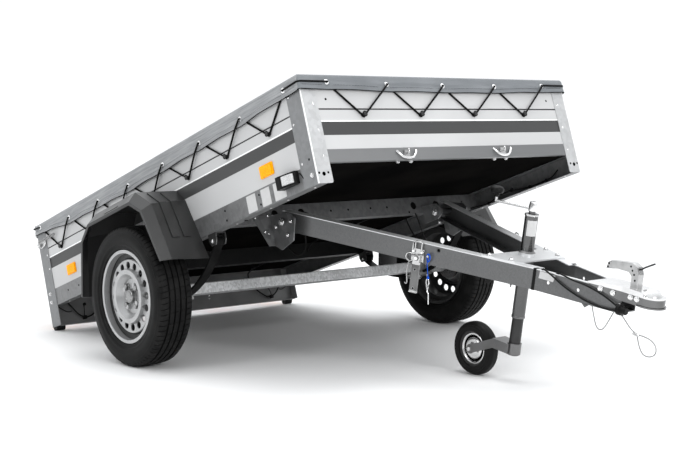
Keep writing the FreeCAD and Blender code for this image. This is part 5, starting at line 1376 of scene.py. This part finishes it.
def arm_face(u):
    """How far out the left arm's outer face is at a distance along the drawbar."""
    return ARM_START - ARM_SLOPE * u


def moved(shape, matrix):
    """Put a shape's points through a matrix in its own millimetres."""
    shape.points = [matrix @ point for point in shape.points]
    return shape


def make_toggle_details():
    made = Shape(BAR)
    for x in (-17, 17):
        made.hexagon((x, -8, 3), (0, -1, 0), 12, 6, "chrome")
    made.hexagon((0, -17, -20), (0, -1, 0), 15, 6, "chrome")
    made.prism([(-14.6, -17.6), (14.6, -17.6), (14.6, -8), (11, -8), (11, -16), (-11, -16), (-11, -8),
                (-14.6, -8)], "Z", -140, -44, "dull_zinc")
    for z in (-62, -132):
        made.lathe([(16.8, 6), (17.9, 5.8), (17.9, 4.2), (16.8, 4), (16.8, 6)], "zinc", 18, (0, 0, z),
                   (0, -1, 0))
        # A black disc of painted shade in each ring's hole
        made.lathe([(17, 4.2), (17.7, 4.2)], "hole", 16, (0, 0, z), (0, -1, 0))
    made.prism([(-15.4, -19.8), (15.4, -19.8), (15.4, -9), (-15.4, -9)], "Z", -148, -143, "zinc")
    made.prism([(-25.5, -9.2), (-20, -9.2), (-20, -0.2), (-25.5, -0.2)], "Z", -20, 34, "zinc")
    made.wire([(-30, -11, -36), (-37, -13, -58), (-33, -14, -92), (-28, -14, -116), (-33, -14, -124),
               (-38, -14, -118)], 2, "zinc")
    made.wire([(-32, -14, -92), (-22, -16, -88), (-12, -17, -90)], 1.8, "zinc")
    made.wire([(-24, -13, -14), (-10, -20, -10), (8, -20, -8), (26, -13, -6)], 2, "zinc")
    moved(made, TOGGLE)
    piece("toggle_details", made.mirrored(), "drawbar", 0.5)


def make_drawbar_trim():
    made = Shape(BAR)
    for near, far, low, high in ((0.2, 1.2, -38.6, 38.6), (-20, 1.2, 37.6, 38.6), (-20, 1.2, -38.6, -37.6)):
        corners = [(u, arm_face(u) + out, w) for w in (low, high)
                   for u, out in ((965, near), (976, near), (976, far), (965, far))]
        made.add(corners, CRATE, "black")
    for u, drop, radius in ((806, 18, 9), (800, 10, 11)):
        y = arm_face(u) - 12
        made.lathe([(0, radius), (drop - 4, radius * 0.94), (drop, radius * 0.6)], "rubber", 18,
                   (u, y, -37), (-0.35, 0, -1))
    y = arm_face(883) - 14
    made.hexagon((883, y, -37.5), (0, 0, -1), 10, 4, "dull_zinc")
    made.lathe([(3.8, 3), (12, 2.8), (13, 1.6)], "dull_zinc", 12, (883, y, -37.5), (0, 0, -1))
    y = arm_face(614)
    hole = Shape(BAR)
    hole.lathe([(-0.2, 8.2), (0.9, 8), (1, 6.6), (-0.2, 6.2), (-0.2, 8.2)], "dull_zinc", 24, ORIGIN,
               (0, 1, 0))
    moved(hole, Matrix.Translation((614, y, 22)) @ Matrix.Rotation(-ARM_TURN, 4, "Z"))
    made.add(hole.points, hole.faces, "dull_zinc")
    piece("arm_trim", made.mirrored(), "drawbar", 0.6)
    made = Shape(BAR)
    made.lathe([(186, 24), (187, 25.6), (191.5, 26), (193.4, 24.6), (193.4, 13), (186, 13), (186, 24)],
               "zinc", 40, JACK)
    made.lathe([(203, 12.2), (204, 14.6), (222, 14.8), (228, 13.2), (236, 12.6), (237, 10.5), (237, 0.4)],
               "chrome", 36, JACK)
    made.lathe([(52.4, 28.2), (53.6, 31), (56, 28.4), (60, 24.4), (52.4, 28.2)], "dull_zinc", 40, JACK)
    made.lathe([(-188, 21.4), (-188, 24.8), (-182, 25.2), (-180, 24), (-188, 21.4)], "dull_zinc", 40, JACK)
    turn = radians(14)
    grip = (JACK[0] - 150 * cos(turn), -150 * sin(turn), 0)
    made.lathe([(238, 6), (239, 15), (242, 21), (249, 24.5), (256, 24), (262, 19.5), (265, 12), (266, 3)],
               "black", 32, grip)
    made.lathe([(226, 6.2), (227, 8), (237, 9.5), (239, 6.2), (226, 6.2)], "black", 24, grip)
    piece("jack_trim", made, "drawbar", 0, 40)


# Wiring

def make_wiring():
    made = Shape(BOX)
    x = LAMP_FACE + 6
    made.wire([(x, 613, 19), (x + 9, 606, 3), (x + 12, 594, -17), (x + 12, 570, -48), (x + 9, 541, -66),
               (x + 9, 508, -65), (x + 11, 482, -48), (x + 11, 462, -34), (x + 8, 440, -8),
               (x + 4, 425, 12), (x, 418, 30)], 3.4, "rubber")
    made.wire([(x, 669, 2), (x + 6, 655, -8), (x + 8, 636, -24), (x + 6, 612, -36), (x + 6, 596, -30)], 2,
              "rubber")
    made.wire([(x - 4, 524, -5), (x + 6, 530, -20), (x + 10, 536, -42), (x + 10, 538, -66)], 2.2, "black")
    made.lathe([(0, 5.5), (3, 7.5), (9, 7), (11, 3)], "black", 16, (LAMP_FACE + 2, 524, -4), (1, 0, 0))
    made.block((x + 3, x + 17), (530, 545), (-75, -58), "black")
    rail = 644  # distance from the middle at which the wire is clipped to the rail
    made.wire([(-604, 632, 12), (-560, 636, 9), (-503, rail, 4), (-470, rail, 14), (-420, rail, 26),
               (-357, rail, 25), (-300, rail, 13), (-252, rail, 9), (-200, rail, 9), (-156, rail, 10),
               (-126, rail + 6, 16), (-112, 660, 30), (-110, 672, 40)], 3, "rubber")
    for place, height in ((-503, 4), (-357, 25), (-252, 9), (-156, 10)):
        made.block((place - 4, place + 4), (rail - 5, rail + 6), (height - 7, height + 7), "black")
    made.wire([(-590, 430, 10), (-596, 420, -18), (-598, 395, -32), (-599, 374, -30), (-603, 366, 0),
               (-612, 368, 12)], 3.2, "rubber")
    made.wire([(-606, 300, 6), (-600, 306, -30), (-600, 312, -84), (-604, 326, -122), (-640, 338, -128),
               (-700, 342, -60), (-720, 344, 20)], 3.2, "rubber")
    piece("box_wiring", made.mirrored(), "chassis", 0, 50)
    made = Shape(BOX)
    made.wire([(-720, 344, 20), (-760, 340, 66), (-1000, 330, 70), (-1300, 330, 70), (-1405, 332, 66),
               (-1440, 334, -2), (-1480, 336, 60), (-1800, 350, 70), (-2020, 400, 68), (-2046, 416, 50),
               (-2056, 418, 32)], 3.4, "rubber")
    for place in (-860, -1020, -1180, -1600, -1740, -1900):
        made.block((place - 5, place + 5), (322, 340) if place > -1500 else (338, 364), (64, 75.4), "black")
    piece("floor_wiring", made, "chassis", 0, 50)


def make_guard_details():
    """Raised bars on the mudguards' side bands, and screws in their walls."""
    made = Shape(BOX)
    along = Vector((1, 0, 0))
    slope = Vector((0, -40, 38)).normalized()
    out = Vector((0, 38, 40)).normalized()
    centre = Vector((-1026, 895, 191.5))
    ring = [centre + along * (x * 53) + slope * (z * 4.5) for x, z in ((-1, -1), (1, -1), (1, 1), (-1, 1))]
    made.add([point - out for point in ring] + [point + out * 2 for point in ring], CRATE, "guard")
    piece("guard_bars", made.mirrored(), "chassis", 1)
    spots = spots_on(BOX, [(AXLE_X + dx, 684.6, z) for dx, z in ((-170, 118), (0, 150), (170, 118))],
                     (0, 1, 0))
    copies("guard_screws", "chassis", bolt_pattern(13, 5), spots, "chrome", 0.5)


# Cords on the drawbar

# Each cord's route, point by point as in the part's source
CORDS = {
    "electric_cable_upper": (
        (1046, -82, 36), (1062, -88, 43.5), (1086, -92, 42), (1122, -83.5, 33), (1164, -76, 30),
        (1206, -68.5, 21), (1244, -60.5, 9), (1276, -55, -5), (1299, -54, -13)),
    "electric_cable_lower": (
        (986, -90, 36), (1000, -98, 43.5), (1020, -104.5, 41), (1042, -98.5, 30), (1070, -93, 14),
        (1105, -86.5, -2), (1142, -79.5, -14), (1180, -71.5, -25), (1222, -63.5, -31), (1262, -57, -31.5),
        (1299, -54, -26)),
    "safety_cable": (
        (1297, -38, -35.5), (1310, -39.5, -42), (1329, -42, -55), (1350, -44.5, -70), (1372, -46, -80),
        (1388, -46, -83), (1410, -46, -82), (1436, -45.5, -84.5), (1457, -45, -95), (1467, -45, -113),
        (1461, -45, -132), (1441, -45, -143), (1419, -45.5, -142.5), (1404, -46, -128), (1393, -46, -108),
        (1386, -46, -90)),
    "tether_wire": (
        (1196, -58, -37.5), (1206, -58.5, -60), (1217, -59, -84), (1227, -59.5, -101), (1242, -60, -108),
        (1257, -60, -100), (1266, -58, -82), (1272, -52, -60), (1277, -44, -37.5)),
    "lanyard": ((578, -245, -7), (583, -244, -25), (585, -243, -45), (590, -242, -65), (594, -241, -84)),
}


def cord(node, radius, tint):
    """One smooth cord through a node's own route."""
    points = [BAR @ Vector(point) for point in CORDS[node]]
    made = smooth_line(node + "_cord", points, radius * MM, 4, 12)
    made.data.materials.append(finish(tint))
    return ride(made, "drawbar", (node,)), points[0]


def make_cords():
    upper, upper_exit = cord("electric_cable_upper", 3, "rubber")
    lower, lower_exit = cord("electric_cable_lower", 3, "rubber")
    plug = Shape(BAR)
    plug.lathe([(-3, 5), (-1, 13), (1, 17.8), (3, 19), (12.5, 19), (14.5, 17.8), (16, 13.4), (19, 12.6),
                (21, 13.2), (23, 12.6), (25, 13.2), (27, 12.6), (29, 13.2), (34, 12.4), (36, 10.4),
                (36, 0.5)], "black", 32, (1299, -54, -19.5), (1, 0, 0))
    plug.block((1301, 1312), (-60, -48), (-3, 2), "black")
    plug.wire([(1301, -60, 0.5), (1306, -62, 1.5), (1311, -60, 0.5)], 1.2, "zinc")
    for entry, way in (((1300, -54, -13), (-0.94, -0.02, 0.34)), ((1300, -54, -26), (-0.98, -0.02, -0.14))):
        plug.lathe([(0, 4.6), (6, 4.4), (14, 3.4)], "rubber", 16, entry, way)
    plug_piece = piece("cable_plug", plug, "drawbar", 0, 40, ("electric_plug",))
    safety, exit_point = cord("safety_cable", 2, "steel_rope")
    sleeve = Shape(BAR)
    sleeve.lathe([(-11, 3.4), (-10, 5.5), (11, 5.5), (13, 3.6)], "zinc", 20, (1378, -46, -84.5),
                 (0.97, 0, -0.10))
    sleeve.lathe([(0, 2.6), (4, 4.2), (9, 4), (11, 2.4)], "zinc", 16, (1303, -38.6, -38.5),
                 (0.9, -0.08, -0.45))
    sleeve_piece = piece("cable_sleeves", sleeve, "drawbar", 0, 40)
    tether, exit_point = cord("tether_wire", 2, "steel_rope")
    lanyard, exit_point = cord("lanyard", 1.5, "blue")
    tag = Shape(BAR)
    tag.wire([(579, -245.5, -6), (583, -247, 3), (591, -246, 4), (596, -244.5, -6), (593, -243.5, -20),
              (586, -243.5, -27), (583, -244.2, -20), (579, -245, -8)], 2.4, "blue")
    tag.lathe([(-6, 1.4), (-4, 3.6), (0, 4.8), (4, 3.6), (6, 1.4)], "blue", 18, (593.5, -241, -83),
              (0.2, 0, -1))
    tag_piece = piece("lanyard_tag", tag, "drawbar", 0, 50)
    clip = Shape(BAR)
    clip.wire([(594, -241, -84), (588, -241, -88), (586, -241, -96), (587, -241, -108), (598, -241, -112),
               (602, -241, -101), (597, -241, -90), (594, -241, -84)], 1.8, "chrome")
    clip.wire([(598, -241, -112), (601, -242, -122), (595, -242.5, -130), (600, -242.5, -137)], 1.8, "chrome")
    clip_piece = piece("r_clip_bow", clip, "drawbar", 0, 50)


# Stage

CAMERA_RIGHT = (0.60879, 0.76738, -0.20128)
CAMERA_UP = (0.2457, 0.0589, 0.9676)
CAMERA_AHEAD = (-0.7543, 0.6385, 0.1527)
CAMERA_AT = (3372, -3444, -864.5)
LENS, SENSOR = 67.22, 36

# Each light's name, place, size in metres and power in watts
LIGHTS = (("front", (6.5, -0.5, 3), 1.4, 150), ("side", (0.5, -6, 3.2), 1.6, 55),
          ("top", (0.4, 0.3, 6), 2.4, 110))


def look_from():
    """The camera of the photograph, solved in the level box's frame and stood up with it."""
    turn = Matrix.Rotation(-TIP, 3, "Y")
    right, up, ahead = (turn @ Vector(way) for way in (CAMERA_RIGHT, CAMERA_UP, CAMERA_AHEAD))
    matrix = Matrix((right, up, -ahead)).transposed().to_4x4()
    matrix.translation = BOX @ Vector(CAMERA_AT)
    return matrix


def light_room(world, backdrop):
    """Soft light from all round, brightest on the backdrop and overhead."""
    room = Nodes(world.node_tree)
    around = room.node("ShaderNodeTexCoord", output="Generated")
    facing = room.node("ShaderNodeVectorMath", {"operation": "DOT_PRODUCT"},
                       {0: around, 1: (backdrop.x, backdrop.y, 0)}, "Value")
    sky = world.node_tree.nodes["Background"]
    room.feed(sky.inputs["Color"], (0.97, 0.985, 1))
    wall = room.span(facing, -0.3, 0.5, 0.42, 1.05)
    ceiling = room.span(room.part(around, "Z"), 0.15, 0.9, 0, 0.85)
    room.feed(sky.inputs["Strength"], wall + ceiling)


def make_stage():
    scene = bpy.context.scene
    lens_data = bpy.data.cameras.new("photo camera")
    lens_data.sensor_width = SENSOR
    lens_data.lens = LENS
    lens_data.clip_end = 60
    camera = placed("photo camera", lens_data)
    camera.matrix_world = look_from()
    scene.camera = camera
    world = bpy.data.worlds.new("studio")
    world.use_nodes = True
    light_room(world, look_from().to_3x3() @ Vector((0, 0, -1)))
    scene.world = world
    scene.view_settings.view_transform = "Standard"
    floor_mesh = bpy.data.meshes.new("floor")
    floor_mesh.from_pydata([(-30, -30, 0), (30, -30, 0), (30, 30, 0), (-30, 30, 0)], [], [(0, 1, 2, 3)])
    floor_mesh.materials.append(Finish("pale floor").set(colour=(0.90, 0.90, 0.90), rough=0.8))
    placed("floor", floor_mesh)
    for name, spot, size, power in LIGHTS:
        data = bpy.data.lights.new(name, "AREA")
        data.energy = power
        data.size = size
        lamp = placed(name, data)
        lamp.location = spot
        lamp.rotation_euler = (Vector((0, 0, 0.4)) - Vector(spot)).to_track_quat("-Z", "Y").to_euler()


def paint_nodes():
    """Give each of the frame's nodes its finish."""
    for name, node in NODES.items():
        node.data.materials.clear()
        node.data.materials.append(finish(NODE_FINISH.get(name, "galvanised")))


# Operators and panel

class Step:
    """What every operator here shares: it can be undone."""
    bl_options = {"REGISTER", "UNDO"}


class TRAILER_OT_stage(Step, bpy.types.Operator):
    """Camera, pale floor and soft lights"""
    bl_idname = "trailer.stage"
    bl_label = "Stage"

    def execute(self, context):
        make_stage()
        return {"FINISHED"}


class TRAILER_OT_cords(Step, bpy.types.Operator):
    """Cables, wires and the lanyard on the drawbar"""
    bl_idname = "trailer.cords"
    bl_label = "Cords"

    def execute(self, context):
        make_cords()
        return {"FINISHED"}


class TRAILER_OT_finishes(Step, bpy.types.Operator):
    """Finish of every piece of the frame"""
    bl_idname = "trailer.finishes"
    bl_label = "Finishes"

    def execute(self, context):
        paint_nodes()
        return {"FINISHED"}


class TRAILER_OT_tyres(Step, bpy.types.Operator):
    """Road tyres with their grooves and cross cuts"""
    bl_idname = "trailer.tyres"
    bl_label = "Tyres"

    def execute(self, context):
        make_tyres(context.scene.trailer)
        return {"FINISHED"}


class TRAILER_OT_wheels(Step, bpy.types.Operator):
    """Wheel bolts, cap rings, valves and the jockey wheel's trim"""
    bl_idname = "trailer.wheels"
    bl_label = "Wheel details"

    def execute(self, context):
        make_wheel_details()
        return {"FINISHED"}


class TRAILER_OT_cover(Step, bpy.types.Operator):
    """Cloth cover with its hem, seams, stitches and eyelets"""
    bl_idname = "trailer.cover"
    bl_label = "Cover"

    def execute(self, context):
        make_cover(context.scene.trailer)
        return {"FINISHED"}


class TRAILER_OT_lacing(Step, bpy.types.Operator):
    """Elastic cord between the cover's eyelets and the knobs"""
    bl_idname = "trailer.lacing"
    bl_label = "Lacing"

    def execute(self, context):
        make_lacing(context.scene.trailer)
        return {"FINISHED"}


class TRAILER_OT_lamps(Step, bpy.types.Operator):
    """Tail lamps, and the ribs of the reflectors and marker lamps"""
    bl_idname = "trailer.lamps"
    bl_label = "Lamps"

    def execute(self, context):
        make_lamps()
        return {"FINISHED"}


class TRAILER_OT_labels(Step, bpy.types.Operator):
    """Blank labels on the rail and the drawbar"""
    bl_idname = "trailer.labels"
    bl_label = "Labels"

    def execute(self, context):
        make_labels()
        return {"FINISHED"}


class TRAILER_OT_latches(Step, bpy.types.Operator):
    """Wire latches of the tail board"""
    bl_idname = "trailer.latches"
    bl_label = "Tail board latches"

    def execute(self, context):
        make_gate_latches()
        return {"FINISHED"}


class TRAILER_OT_fasteners(Step, bpy.types.Operator):
    """Rivets, bolts, nuts and small holes"""
    bl_idname = "trailer.fasteners"
    bl_label = "Fasteners"

    def execute(self, context):
        make_fasteners()
        return {"FINISHED"}


class TRAILER_OT_guards(Step, bpy.types.Operator):
    """Bars and screws of the mudguards"""
    bl_idname = "trailer.guards"
    bl_label = "Mudguard details"

    def execute(self, context):
        make_guard_details()
        return {"FINISHED"}


class TRAILER_OT_drawbar(Step, bpy.types.Operator):
    """Details of the toggle latches, the arms and the jack"""
    bl_idname = "trailer.drawbar"
    bl_label = "Drawbar details"

    def execute(self, context):
        make_toggle_details()
        make_drawbar_trim()
        return {"FINISHED"}


class TRAILER_OT_wiring(Step, bpy.types.Operator):
    """Wiring clipped under the box and to the lamp board"""
    bl_idname = "trailer.wiring"
    bl_label = "Wiring"

    def execute(self, context):
        make_wiring()
        return {"FINISHED"}


STEPS = (TRAILER_OT_stage, TRAILER_OT_cords, TRAILER_OT_finishes, TRAILER_OT_tyres, TRAILER_OT_wheels,
         TRAILER_OT_cover, TRAILER_OT_lacing, TRAILER_OT_lamps, TRAILER_OT_labels, TRAILER_OT_latches,
         TRAILER_OT_fasteners, TRAILER_OT_guards, TRAILER_OT_drawbar, TRAILER_OT_wiring)


class TRAILER_PT_panel(bpy.types.Panel):
    """Lists the trailer's sizes and the steps that make its pieces."""
    bl_idname = "TRAILER_PT_panel"
    bl_label = "Tipping trailer"
    bl_space_type = "VIEW_3D"
    bl_region_type = "UI"
    bl_category = "Trailer"

    def draw(self, context):
        for name in ("tread_pitches", "tread_depth", "cover_sag", "lace", "eyelet", "stitch"):
            self.layout.prop(context.scene.trailer, name)
        for step in STEPS:
            self.layout.operator(step.bl_idname)


CLASSES = (TrailerSettings, *STEPS, TRAILER_PT_panel)


def register():
    for made in CLASSES:
        bpy.utils.register_class(made)
    bpy.types.Scene.trailer = PointerProperty(type=TrailerSettings)


def unregister():
    del bpy.types.Scene.trailer
    for made in reversed(CLASSES):
        bpy.utils.unregister_class(made)


def main():
    register()
    for step in STEPS:
        getattr(bpy.ops.trailer, step.bl_idname.split(".")[1])()
    bpy.context.view_layer.update()


if __name__ == "__main__":
    main()
